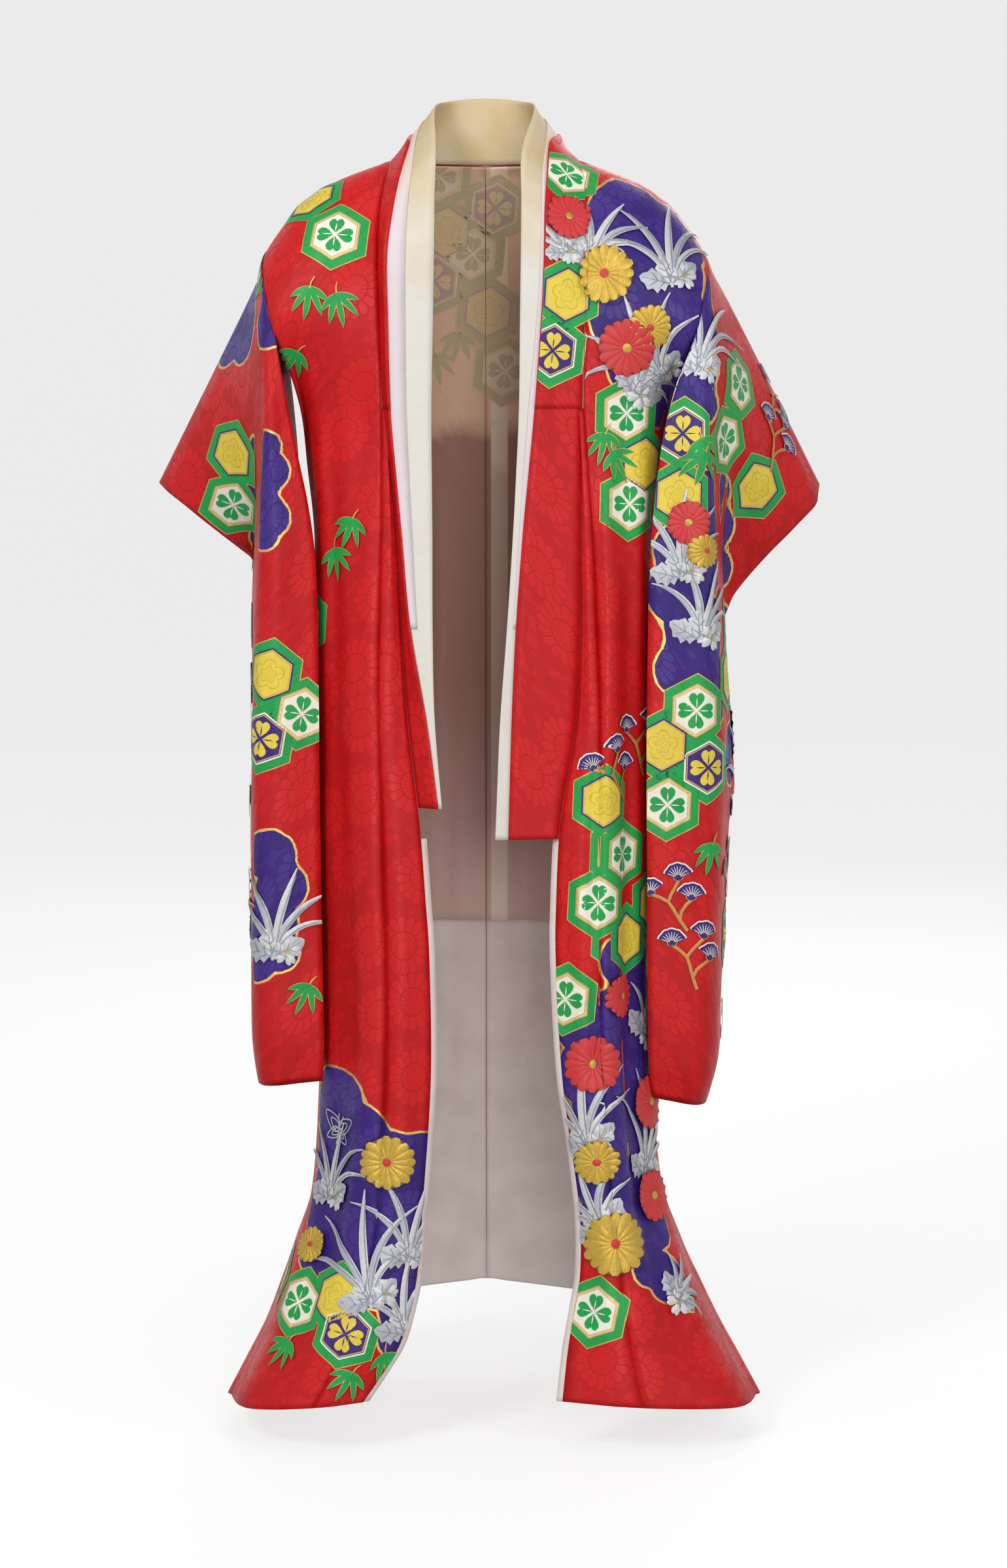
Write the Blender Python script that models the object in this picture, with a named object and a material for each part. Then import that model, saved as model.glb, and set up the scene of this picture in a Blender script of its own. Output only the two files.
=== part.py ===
"""A long-sleeved formal kimono in its worn form, open in front and hollow.

Frame: metres, +Z up, -Y the front of the garment, +X the wearer's left.
The origin lies between the shoulders at the base of the neck.
"""
import math

import bpy
from mathutils import Vector

MM = 0.001
SIDES = {"right": -1, "left": 1}

# Cloth thicknesses and the gaps between pieces
WALL = 1.6
LINING_WALL = 1.0
COLLAR_WALL = 1.8
SEAM_GAP = 0.6
LAYER_GAP = 0.35
COLLAR_SEAM_GAP = 0.9
SEAM_END_GAP = 1.6
LEAST_BEND = 0.7
SHARPEST_FOLD = 0.16
POINTS_APART = 20

# Heights of the main lines below the neck
SLIT_FOOT = -450
LINING_JOIN = -958
HEM = -1490
HEM_LIFT_START = -1250

# Columns of the grids, and the heights of the rows below the chest: each
# height with the number of rows from it to the next
NECK_COLUMNS = 4
FRONT_COLUMNS = 10
OVERLAP_COLUMNS = 3
OVERLAP_START = 1
ROW_HEIGHTS = ((-300, 2), (-450, 1), (-560, 1), (-670, 1), (-775, 1), (-812, 2), (-958, 1),
               (-1100, 1), (-1250, 1), (-1330, 2), (-1420, 2), (HEM, 0))

# Plan sections of the body below the chest: z, then out and y of each place.
# "edge" is the front edge, "seam" the overlap seam, "corner" the turn to the
# side, "side" the side seam; "slit" is half the opening under the arm.
BODY_NAMES = ("z", "edge_out", "edge_y", "seam_out", "seam_y",
              "corner_out", "corner_y", "side_out", "side_y", "slit")
BODY_SECTIONS = {
    "right": (
        (-300, 121, -112, 123, -112, 200, -84, 222, 2, 46),
        (-450, 106, -120, 123, -122, 194, -90, 208, 4, 0),
        (-650, 95, -128, 127, -136, 190, -94, 204, 6, 0),
        (-820, 76, -142, 122, -152, 189, -100, 202, 8, 0),
        (-1050, 64, -158, 118, -170, 187, -110, 199, 10, 0),
        (-1250, 75, -172, 128, -187, 198, -122, 211, 6, 0),
        (-1330, 81, -180, 140, -196, 222, -137, 236, -6, 0),
        (-1420, 102, -196, 168, -212, 254, -162, 272, -36, 0),
        (-1490, 146, -214, 206, -226, 288, -190, 316, -90, 0),
    ),
    "left": (
        (-300, 116, -112, 118, -112, 198, -84, 222, 2, 46),
        (-450, 115, -120, 129, -122, 191, -90, 207, 4, 0),
        (-650, 112, -128, 136, -136, 190, -94, 204, 6, 0),
        (-820, 88, -142, 136, -150, 188, -100, 202, 8, 0),
        (-1050, 88, -158, 138, -167, 187, -108, 201, 10, 0),
        (-1250, 113, -172, 152, -182, 204, -120, 216, 6, 0),
        (-1330, 115, -179, 162, -192, 230, -134, 243, -6, 0),
        (-1420, 101, -194, 174, -210, 268, -158, 290, -36, 0),
        (-1490, 93, -212, 190, -226, 304, -188, 337, -90, 0),
    ),
}

# Plan sections of the back: z, out and y of the back's turn, y of the centre
BACK_NAMES = ("z", "heel_out", "heel_y", "centre_y")
BACK_SECTIONS = (
    (-300, 150, 118, 130),
    (-450, 150, 128, 142),
    (-650, 148, 135, 147),
    (-820, 150, 141, 152),
    (-1050, 154, 150, 160),
    (-1250, 168, 164, 172),
    (-1330, 182, 172, 180),
    (-1420, 206, 180, 190),
    (-1490, 226, 186, 198),
)

# How far the hem lies above or below its level at each place of the section
HEM_DROP = {"edge": 6, "seam": 2, "corner": -8, "side": -16, "heel": 24, "centre": 52}

# How far the yoke and the back of the neck swell between their edges
YOKE_SWELL = 6
NECK_SWELL = (26, 22, 0)
BACK_SWELL = (0, 3, 0)

# Shoulder line from the neck to the sleeve seam: share of its length, out, y, z
SHOULDER_LINE = (
    (0.00, 112, 0, -5),
    (0.27, 156, 0, -20),
    (0.48, 194, 4, -36),
    (0.72, 228, 12, -61),
    (0.86, 245, 19, -84),
    (1.00, 260, 25, -110),
)

# Sleeve seam before and behind the arm, from the shoulder line down
SLEEVE_SEAM_FRONT = ((260, 25, -110), (266, -24, -118), (267, -60, -140),
                     (261, -86, -174), (250, -97, -214))
SLEEVE_SEAM_BACK = ((260, 25, -110), (266, 74, -118), (266, 107, -144),
                    (260, 124, -182), (250, 127, -224))

# Neck edge of the front panel, and of the back from the centre to the shoulder
NECK_FRONT = {
    "right": ((112, 0, -5), (120, -46, -32), (126, -78, -72), (127, -98, -122), (125, -106, -190)),
    "left": ((112, 0, -5), (118, -46, -32), (120, -78, -72), (120, -98, -122), (119, -106, -190)),
}
BACK_CENTRE = ((0, 74, -8), (0, 84, -26), (0, 95, -60), (0, 106, -112), (0, 118, -190))
BACK_NECK = ((112, 0, -5), (108, 48, -14), (100, 82, -44), (94, 102, -102), (92, 114, -186))

# Soft folds of the fronts: share of the width at the chest and at the hem,
# half width as a share, depth, top and bottom heights
FOLD_NAMES = ("at_top", "at_foot", "half", "depth", "top", "foot")
FRONT_FOLDS = {
    "right": (
        (0.20, 0.16, 0.14, -6, -420, -1500),
        (0.42, 0.34, 0.14, 7, -250, -1500),
        (0.72, 0.66, 0.14, -5, -420, -1400),
    ),
    "left": (
        (0.14, 0.12, 0.14, -5, -420, -1500),
        (0.36, 0.34, 0.14, 7, -500, -1500),
        (0.72, 0.66, 0.14, -5, -330, -1400),
    ),
}
BACK_FOLDS = (
    (0.20, 0.18, 0.14, 5, -260, -1450),
    (0.46, 0.44, 0.14, -5, -380, -1450),
    (0.74, 0.70, 0.14, 5, -300, -1450),
)
FOLD_FADE = 110
FOLD_ROUNDNESS = 1.6
FOLD_REACH = 1.6

# Sleeve rows down the cloth, each with three places as out, y and z: the inner
# edge, the fold line and the outer edge. The first row is the shoulder's, the
# last one the sleeve's foot.
SLEEVE_NAMES = ("inner", "fold", "outer")
SLEEVE_FRONT = {
    "right": (
        ((260, 25, -110), (300, 46, -193), (406, 92, -396)),
        ((266, -24, -118), (292, 6, -206), (384, 58, -412)),
        ((267, -60, -140), (285, -32, -226), (356, 44, -434)),
        ((261, -86, -174), (276, -66, -252), (326, 46, -458)),
        ((250, -97, -214), (268, -86, -284), (300, 62, -480)),
        ((232, -95, -316), (266, -96, -345), (284, 92, -506)),
        ((204, -96, -470), (272, -98, -480), (272, 118, -580)),
        ((200, -100, -680), (278, -99, -688), (268, 134, -720)),
        ((198, -104, -900), (281, -100, -905), (266, 140, -920)),
        ((195, -114, -1060), (281, -100, -1066), (264, 134, -1052)),
        ((197, -112, -1112), (276, -94, -1118), (250, 112, -1098)),
    ),
    "left": (
        ((260, 25, -110), (306, 46, -190), (415, 92, -398)),
        ((266, -24, -118), (300, 4, -204), (404, 56, -424)),
        ((267, -60, -140), (294, -34, -226), (378, 38, -452)),
        ((261, -86, -174), (286, -66, -254), (348, 34, -482)),
        ((250, -97, -214), (278, -84, -292), (316, 44, -520)),
        ((216, -104, -316), (272, -96, -372), (292, 70, -575)),
        ((198, -107, -470), (276, -98, -510), (296, 92, -660)),
        ((194, -112, -690), (284, -96, -716), (304, 104, -800)),
        ((196, -114, -910), (280, -96, -926), (294, 108, -950)),
        ((198, -114, -1080), (278, -92, -1092), (290, 98, -1080)),
        ((202, -106, -1134), (268, -82, -1146), (270, 74, -1130)),
    ),
}
SLEEVE_BACK = {
    "right": (
        ((260, 25, -110), (300, 46, -193), (406, 92, -396)),
        ((266, 74, -118), (300, 88, -206), (388, 122, -404)),
        ((266, 107, -144), (294, 118, -228), (360, 138, -424)),
        ((260, 124, -182), (284, 132, -256), (330, 142, -448)),
        ((250, 127, -224), (276, 136, -290), (304, 132, -474)),
        ((238, 112, -320), (266, 124, -350), (284, 92, -506)),
        ((226, 62, -472), (250, 70, -486), (272, 118, -580)),
        ((222, 4, -682), (250, 6, -690), (268, 134, -720)),
        ((220, -30, -902), (254, -26, -906), (266, 140, -920)),
        ((214, -58, -1062), (262, -56, -1066), (264, 134, -1052)),
        ((197, -112, -1112), (276, -94, -1118), (250, 112, -1098)),
    ),
    "left": (
        ((260, 25, -110), (306, 46, -190), (415, 92, -398)),
        ((266, 74, -118), (306, 90, -206), (408, 124, -414)),
        ((266, 107, -144), (300, 120, -230), (382, 140, -440)),
        ((260, 124, -182), (290, 134, -258), (352, 142, -470)),
        ((250, 127, -224), (280, 136, -298), (318, 128, -510)),
        ((242, 112, -320), (266, 124, -376), (292, 70, -575)),
        ((234, 62, -472), (254, 70, -512), (296, 92, -660)),
        ((232, 10, -692), (258, 18, -718), (304, 104, -800)),
        ((232, -22, -912), (260, -12, -928), (294, 108, -950)),
        ((228, -48, -1082), (264, -40, -1092), (290, 98, -1080)),
        ((202, -106, -1134), (268, -82, -1146), (270, 74, -1130)),
    ),
}

# Rows of the sleeve where its seam to the body, its cuff and its lining end,
# the grid's columns as shares of the width, and its rows between table rows
SLEEVE_SEAM_ROW = 4
CUFF_ROW = 5
SLEEVE_LINING_END = 8
FOLD_SHARE = 0.27
SLEEVE_SHARES = (0.0, 0.08, 0.16, 0.22, FOLD_SHARE, 0.32, 0.40, 0.52, 0.66, 0.80, 0.91, 1.0)
SLEEVE_STEPS = (1, 1, 1, 1, 2, 3, 3, 3, 2, 1)

# Free edges of the collars round the back of the neck, in steps from the centre
# to the shoulder: the red edge, the cream edge and how far out the accent
# collar's edge lies
COLLAR_BACK_NAMES = ("red_out", "red_y", "red_z", "cream_out", "cream_y", "cream_z", "accent_out")
COLLAR_BACK = (
    (0, 85, 34, 0, 92, 74, 0),
    (43, 82, 33, 30, 88, 73, 36),
    (74, 66, 31, 50, 72, 71, 62),
    (90, 34, 27, 60, 44, 68, 75),
)

# The same down the fronts: height of the seam, then each edge with its rise
# above the seam
COLLAR_NAMES = ("z", "red_out", "red_y", "red_rise", "cream_out", "cream_y", "cream_rise",
                "accent_out")
COLLAR_FRONT = {
    "right": (
        (-5, 92, -6, 19, 64, 6, 61, 84),
        (-32, 102, -64, 6, 60, -66, 38, 88),
        (-72, 110, -98, 2, 60, -100, 16, 92),
        (-122, 116, -118, 0, 60, -118, 6, 94),
        (-190, 115, -126, 0, 61, -124, 2, 94),
        (-300, 112, -132, 0, 63, -130, 0, 93),
        (-450, 99, -140, 0, 62, -138, 0, 86),
        (-560, 89, -144, 0, 62, -144, 0, 80),
        (-670, 70, -148, 0, 60, -149, 0, 66),
        (-775, 56, -152, 0, 52, -153, 0, 54),
    ),
    "left": (
        (-5, 78, -8, 23, 62, 6, 61, 76),
        (-32, 74, -64, 10, 46, -66, 38, 70),
        (-72, 71, -98, 4, 44, -100, 16, 68),
        (-122, 70, -114, 2, 43, -116, 6, 66),
        (-190, 67, -122, 0, 42, -124, 2, 62),
        (-300, 59, -129, 0, 41, -132, 0, 52),
        (-450, 45, -137, 0, 34, -139, 0, 41),
        (-560, 37, -142, 0, 27, -144, 0, 34),
        (-670, 32, -147, 0, 19, -150, 0, 26),
        (-812, 28, -153, 0, 13, -156, 0, 20),
    ),
}
COLLAR_END = {"right": -775, "left": -812}
ACCENT_END = -560
OVER_COLLAR_END = -310
COLLAR_CORNER = 1.4
COLLAR_CREASES = (0.35, 0.7)

SILK_RED = (0.62, 0.016, 0.012, 1)
LINING_ROSE = (0.52, 0.27, 0.20, 1)
LINING_PALE = (0.62, 0.58, 0.56, 1)
CREAM = (0.80, 0.76, 0.62, 1)
PALE_PINK = (0.82, 0.72, 0.78, 1)


def clear_scene():
    """Remove whatever the file starts with."""
    for item in list(bpy.data.objects):
        bpy.data.objects.remove(item, do_unlink=True)


def material(name, colour, roughness):
    """A plain cloth finish."""
    finish = bpy.data.materials.new(name)
    finish.use_nodes = True
    shader = finish.node_tree.nodes["Principled BSDF"]
    shader.inputs["Base Color"].default_value = colour
    shader.inputs["Roughness"].default_value = roughness
    shader.inputs["Metallic"].default_value = 0.0
    return finish


def limited(value):
    """The value, kept between 0 and 1."""
    return min(max(value, 0.0), 1.0)


def spline(points, t):
    """Point on a smooth curve through the points, t from 0 to 1."""
    last = len(points) - 1
    place = limited(t) * last
    i = min(int(place), last - 1)
    f = place - i
    p1, p2 = points[i], points[i + 1]
    p0 = points[i - 1] if i > 0 else 2 * p1 - p2
    p3 = points[i + 2] if i + 2 <= last else 2 * p2 - p1
    return 0.5 * (2 * p1 + (p2 - p0) * f + (2 * p0 - 5 * p1 + 4 * p2 - p3) * f ** 2
                  + (3 * p1 - p0 - 3 * p2 + p3) * f ** 3)


def read_table(rows, z):
    """Values of a section table at height z, smooth between its rows."""
    heights = [row[0] for row in rows]
    i = 0
    while i < len(rows) - 2 and z < heights[i + 1]:
        i += 1
    share = (heights[i] - z) / (heights[i] - heights[i + 1])
    place = (i + limited(share)) / (len(rows) - 1)
    return [spline([row[k] for row in rows], place) for k in range(1, len(rows[0]))]


def section_place(names, rows, z):
    """Named values of a section at height z."""
    return dict(zip(names[1:], read_table(rows, z)))


def hem_shift(place, z):
    """How far a place of the hem is raised, fading out above it."""
    if z > HEM_LIFT_START:
        return 0.0
    return HEM_DROP[place] * ((HEM_LIFT_START - z) / (HEM_LIFT_START - HEM)) ** 2


def fold_depth(folds, share, z):
    """Sum of the soft folds at a share of the width and a height."""
    total = 0.0
    for row in folds:
        fold = dict(zip(FOLD_NAMES, row))
        run = limited((fold["top"] - z) / (fold["top"] - fold["foot"]))
        middle = fold["at_top"] + (fold["at_foot"] - fold["at_top"]) * run
        distance = (share - middle) / fold["half"]
        if abs(distance) < FOLD_REACH:
            rise = limited((fold["top"] - z) / FOLD_FADE)
            fall = limited((z - fold["foot"]) / FOLD_FADE)
            total += fold["depth"] * rise * fall * math.exp(-FOLD_ROUNDNESS * distance ** 2)
    return total


def front_section(side, z):
    """Front panel and overlap in plan: side seam, corner, overlap seam, edge."""
    row = section_place(BODY_NAMES, BODY_SECTIONS[side], z)
    slit = row["slit"] if z > SLIT_FOOT else 0.0
    return [Vector((row["side_out"], row["side_y"] - slit, z + hem_shift("side", z))),
            Vector((row["corner_out"], row["corner_y"], z + hem_shift("corner", z))),
            Vector((row["seam_out"], row["seam_y"], z + hem_shift("seam", z))),
            Vector((row["edge_out"], row["edge_y"], z + hem_shift("edge", z)))]


def back_section(side, z):
    """Back panel in plan: centre, heel, side seam."""
    row = section_place(BODY_NAMES, BODY_SECTIONS[side], z)
    back = section_place(BACK_NAMES, BACK_SECTIONS, z)
    slit = row["slit"] if z > SLIT_FOOT else 0.0
    centre = Vector((0, back["centre_y"], z + hem_shift("centre", z)))
    heel = Vector((back["heel_out"], back["heel_y"], z + hem_shift("heel", z)))
    return [centre, centre.lerp(heel, 0.5) + Vector(BACK_SWELL), heel,
            Vector((row["side_out"], row["side_y"] + slit, z + hem_shift("side", z)))]


def moved_by_folds(section, share_of, folds, share, z):
    """Point of a section with its fold pushed out across the cloth."""
    here = spline(section, share_of(share))
    ahead = spline(section, share_of(min(share + 0.01, 1.0)))
    behind = spline(section, share_of(max(share - 0.01, 0.0)))
    along = ahead - behind
    across = Vector((-along.y, along.x, 0)).normalized()
    return here + across * fold_depth(folds, share, z)


def front_panel_share(share):
    """Share of the front section at a share of the panel from the overlap seam."""
    return (1 - share) * 2 / 3


def back_panel_share(share):
    """Share of the back section: the panel takes all of it."""
    return share


def lower_front_point(side, share, z):
    """Front panel below the chest: share 0 at the overlap seam, 1 at the side."""
    return moved_by_folds(front_section(side, z), front_panel_share, FRONT_FOLDS[side], share, z)


def lower_overlap_point(side, share, z):
    """Overlap panel: share 0 at the front edge, 1 at the overlap seam."""
    section = front_section(side, z)
    shift = lower_front_point(side, 0.0, z) - section[2]
    return spline(section, 1 - share / 3) + shift * share


def lower_back_point(side, share, z):
    """Back panel below the chest: share 0 at the centre, 1 at the side seam."""
    return moved_by_folds(back_section(side, z), back_panel_share, BACK_FOLDS, share, z)


def shoulder_point(share):
    """Point of the shoulder line at a share of its length."""
    for a, b in zip(SHOULDER_LINE, SHOULDER_LINE[1:]):
        if share <= b[0] + 1e-9:
            f = (share - a[0]) / (b[0] - a[0])
            return Vector(a[1:]).lerp(Vector(b[1:]), f)
    return Vector(SHOULDER_LINE[-1][1:])


def upper_point(neck, seam, swell, share, row):
    """Point of the yoke between the neck edge and the sleeve seam."""
    chord = Vector(neck[row]).lerp(Vector(seam[row]), share)
    fade = 1 - row / len(neck)
    lift = shoulder_point(share) - shoulder_point(0).lerp(shoulder_point(1), share)
    return chord + lift * fade + Vector((0, swell * hump(share) * hump(fade), 0))


def hump(share):
    """A rise that is 1 in the middle and 0 at both ends."""
    return 4 * share * (1 - share)


def lower_heights():
    """Heights of the rows from the chest to the hem."""
    heights = []
    for (top, rows), (foot, _) in zip(ROW_HEIGHTS, ROW_HEIGHTS[1:]):
        heights += [top + (foot - top) * k / rows for k in range(rows)]
    return heights + [ROW_HEIGHTS[-1][0]]


class Sheet:
    """An open surface, with the points that meet other pieces marked."""

    def __init__(self, name, side, thickness=WALL):
        self.name = name
        self.sign = SIDES.get(side, 1)
        self.thickness = thickness
        self.points = []
        self.index = {}
        self.faces = []
        self.seams = set()
        self.seam_ends = set()

    def add(self, key, point):
        """Keep a point under a key, once."""
        if key not in self.index:
            self.index[key] = len(self.points)
            self.points.append(Vector((point.x * self.sign, point.y, point.z)))
        return self.index[key]

    def triangle(self, keys):
        """Add a face by the keys of its corners, turned right for the side."""
        corners = [self.index[key] for key in keys]
        if len(set(corners)) < 3:
            return
        if self.sign < 0:
            corners.reverse()
        self.faces.append(corners)

    def grid(self, rows, flip=False, turned_from=None):
        """Faces between rows of keys. Cells from a column on are split the other
        way, where the rows run back along a piece that they lie in."""
        for upper, lower in zip(rows, rows[1:]):
            for j in range(len(upper) - 1):
                a, b, c, d = upper[j], lower[j], lower[j + 1], upper[j + 1]
                halves = ([a, b, c], [a, c, d])
                if turned_from is not None and j >= turned_from:
                    halves = ([a, b, d], [b, c, d])
                for keys in halves:
                    self.triangle(keys[::-1] if flip else keys)

    def mark_seam(self, keys):
        """Note points that lie on a seam with another piece."""
        self.seams.update(self.index[key] for key in keys)


def face_normal(points, face):
    """Normal of a face with its length as the face's weight."""
    total = Vector((0, 0, 0))
    origin = points[face[0]]
    for a, b in zip(face[1:], face[2:]):
        total += (points[a] - origin).cross(points[b] - origin)
    return total


def shared_normals(sheets):
    """Normals and bends of all the sheets, the same on both sides of a seam."""
    around = {}
    for sheet in sheets:
        for face in sheet.faces:
            normal = face_normal(sheet.points, face)
            for i in face:
                around.setdefault(grid_key(sheet.points[i]), []).append(normal)
    normals, bends = {}, {}
    for key, parts in around.items():
        mean = sum(parts, Vector()).normalized()
        normals[key] = mean
        bends[key] = min(mean.dot(part.normalized()) for part in parts if part.length > 1e-6)
    for sheet in sheets:
        sheet.normals = [normals[grid_key(point)] for point in sheet.points]
        sheet.bends = [bends[grid_key(point)] for point in sheet.points]


def grid_key(point):
    """Key that two pieces' points share where they meet."""
    return tuple(round(c * POINTS_APART) for c in point)


def draw_back_seams(sheet):
    """Pull the seam points in by half of the seam's gap."""
    inward = {i: Vector((0, 0, 0)) for i in sheet.seams}
    for face in sheet.faces:
        centre = sum((sheet.points[i] for i in face), Vector()) / len(face)
        for i in face:
            if i in inward:
                inward[i] += (centre - sheet.points[i]).normalized()
    edge_ways = seam_directions(sheet)
    for i, pull in inward.items():
        way = edge_ways.get(i, Vector((0, 0, 0)))
        pull = pull - way * pull.dot(way)
        if pull.length > 1e-6:
            gap = SEAM_END_GAP if i in sheet.seam_ends else SEAM_GAP / 2
            sheet.points[i] = sheet.points[i] + pull.normalized() * gap


def seam_directions(sheet):
    """Direction of the seam at each of its points, none at a corner."""
    ways = {}
    for a, b in border_edges(sheet.faces):
        if a in sheet.seams and b in sheet.seams:
            way = (sheet.points[b] - sheet.points[a]).normalized()
            for i in (a, b):
                straight = i not in ways or abs(ways[i].dot(way)) > 0.7
                ways[i] = way if straight else Vector((0, 0, 0))
    return ways


def border_edges(faces):
    """Edges that belong to one face only, in that face's direction."""
    edges = {}
    for face in faces:
        for a, b in zip(face, face[1:] + face[:1]):
            edges[(a, b)] = True
    return [(a, b) for a, b in edges if (b, a) not in edges]


def offset_points(sheet, distance, least):
    """Points moved off the sheet, further at a bend so the wall keeps its thickness."""
    return [point + normal * distance / max(bend, least)
            for point, normal, bend in zip(sheet.points, sheet.normals, sheet.bends)]


def build_shell(sheet, finish, collection, shift=0.0):
    """Closed wall from a sheet: both faces and the rim between them."""
    outer_bend = LEAST_BEND if shift == 0 else SHARPEST_FOLD
    outer = offset_points(sheet, shift + sheet.thickness / 2, outer_bend)
    inner = offset_points(sheet, shift - sheet.thickness / 2, SHARPEST_FOLD)
    count = len(outer)
    faces = [list(face) for face in sheet.faces]
    faces += [[i + count for i in reversed(face)] for face in sheet.faces]
    faces += [[b, a, a + count, b + count] for a, b in border_edges(sheet.faces)]
    mesh = bpy.data.meshes.new(sheet.name)
    mesh.from_pydata([p * MM for p in outer + inner], [], faces)
    mesh.validate()
    mesh.shade_smooth()
    mesh.materials.append(finish)
    piece = bpy.data.objects.new(sheet.name, mesh)
    collection.objects.link(piece)
    return piece


def body_sheet(side):
    """One length of cloth: back, over the shoulder, front."""
    sheet = Sheet(f"body_{side}", side)
    heights = lower_heights()
    rows = len(BACK_CENTRE)
    front_rows, back_rows = [], []
    for row in range(rows + len(heights)):
        front_rows.append(body_front_row(sheet, side, row, rows, heights))
        back_rows.append(body_back_row(sheet, side, row, rows, heights))
    sheet.grid(front_rows)
    sheet.grid(back_rows, flip=True)
    sheet.mark_seam([keys[0] for keys in back_rows])
    sheet.mark_seam([keys[0] for keys in front_rows[rows + OVERLAP_START:]])
    sheet.mark_seam([keys[-1] for keys in front_rows[:rows]])
    sheet.mark_seam([keys[-1] for keys in back_rows[:rows]])
    sheet.seam_ends = {sheet.index[keys[rows - 1][-1]] for keys in (front_rows, back_rows)}
    slit_foot = rows + sum(1 for z in heights if z > SLIT_FOOT)
    sheet.mark_seam([keys[-1] for keys in front_rows[slit_foot:]])
    sheet.mark_seam([keys[-1] for keys in back_rows[slit_foot:]])
    return sheet


def body_front_row(sheet, side, row, rows, heights):
    """Keys of one row across the front panel, from the overlap seam outwards."""
    keys = []
    for j in range(FRONT_COLUMNS + 1):
        share = j / FRONT_COLUMNS
        if row < rows:
            point = upper_point(NECK_FRONT[side], SLEEVE_SEAM_FRONT, -YOKE_SWELL, share, row)
        else:
            point = lower_front_point(side, share, heights[row - rows])
        key = ("shoulder", j) if row == 0 else ("front", row, j)
        sheet.add(key, point)
        keys.append(key)
    return keys


def body_back_row(sheet, side, row, rows, heights):
    """Keys of one row across the back panel, from the centre outwards."""
    keys = []
    across = NECK_COLUMNS + FRONT_COLUMNS
    for j in range(across + 1):
        on_shoulder = j >= NECK_COLUMNS
        if row >= rows:
            point = lower_back_point(side, j / across, heights[row - rows])
        elif on_shoulder:
            share = (j - NECK_COLUMNS) / FRONT_COLUMNS
            point = upper_point(BACK_NECK, SLEEVE_SEAM_BACK, YOKE_SWELL, share, row)
        else:
            share = j / NECK_COLUMNS
            point = neck_cut_point(share, row)
        key = ("back", row, j)
        if row == 0 and on_shoulder:
            key = ("shoulder", j - NECK_COLUMNS)
        sheet.add(key, point)
        keys.append(key)
    return keys


def neck_cut_point(share, row):
    """Back of the neck, between the centre line and the shoulder's inner end."""
    start, end = Vector(BACK_CENTRE[row]), Vector(BACK_NECK[row])
    bow = Vector(NECK_SWELL) * hump(share) * (1 - row / len(BACK_CENTRE)) ** 2
    return start.lerp(end, share) + bow


def overlap_sheet(side):
    """Overlap panel from its point near the chest down to the hem."""
    sheet = Sheet(f"overlap_{side}", side)
    rows = []
    for i, z in enumerate(lower_heights()[OVERLAP_START:]):
        keys = []
        for j in range(OVERLAP_COLUMNS + 1):
            key = (i, j)
            sheet.add(key, lower_overlap_point(side, j / OVERLAP_COLUMNS, z))
            keys.append(key)
        rows.append(keys)
    sheet.grid(rows)
    sheet.mark_seam([keys[-1] for keys in rows])
    return sheet


def sleeve_line(table, share):
    """Points down a sleeve face at a share of its width, one a table row."""
    line = []
    for row in table:
        places = dict(zip(SLEEVE_NAMES, row))
        inner, fold, outer = (Vector(places[name]) for name in SLEEVE_NAMES)
        before, after = inner * 2 - fold, outer * 2 - fold
        if share <= FOLD_SHARE:
            place = 1 + share / FOLD_SHARE
        else:
            place = 2 + (share - FOLD_SHARE) / (1 - FOLD_SHARE)
        line.append(spline([before, inner, fold, outer, after], place / 4))
    return line


def sleeve_places():
    """Row places down a sleeve, in table rows."""
    places = [0.0]
    for i, steps in enumerate(SLEEVE_STEPS):
        places += [i + (k + 1) / steps for k in range(steps)]
    return places


def sleeve_sheet(side):
    """A sleeve: front and back faces joined at the shoulder, foot and outer seam."""
    sheet = Sheet(f"sleeve_{side}", side)
    places = sleeve_places()
    last_column = len(SLEEVE_SHARES) - 1
    for face, table in (("front", SLEEVE_FRONT[side]), ("back", SLEEVE_BACK[side])):
        lines = [sleeve_line(table, share) for share in SLEEVE_SHARES]
        rows = []
        for i, place in enumerate(places):
            keys = []
            for j, line in enumerate(lines):
                joined = i in (0, len(places) - 1) or (j == last_column and place >= CUFF_ROW)
                key = ("both", i, j) if joined else (face, i, j)
                sheet.add(key, spline(line, place / (len(table) - 1)))
                keys.append(key)
            rows.append(keys)
        sheet.grid(rows, flip=face == "back")
        seam_rows = sum(1 for place in places if place <= SLEEVE_SEAM_ROW)
        sheet.mark_seam([keys[0] for keys in rows[:seam_rows]])
        sheet.seam_ends.add(sheet.index[rows[seam_rows - 1][0]])
    return sheet


def lining_sheet(name, side, parts, turned_from=None):
    """A lining from rows of points of the pieces it lies in: a list of rows,
    each a list of the piece and the key."""
    lining = Sheet(name, None, LINING_WALL)
    lining.normals, lining.bends = [], []
    keys = []
    for i, row in enumerate(parts):
        keys.append([])
        for j, (piece, key) in enumerate(row):
            k = piece.index[key]
            lining.add((i, j), piece.points[k])
            lining.normals.append(piece.normals[k])
            lining.bends.append(max(piece.bends[k], SHARPEST_FOLD))
            keys[-1].append((i, j))
    lining.grid(keys, side == "left", turned_from)
    lining.mark_seam([row[0] for row in keys])
    return lining, keys


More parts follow.
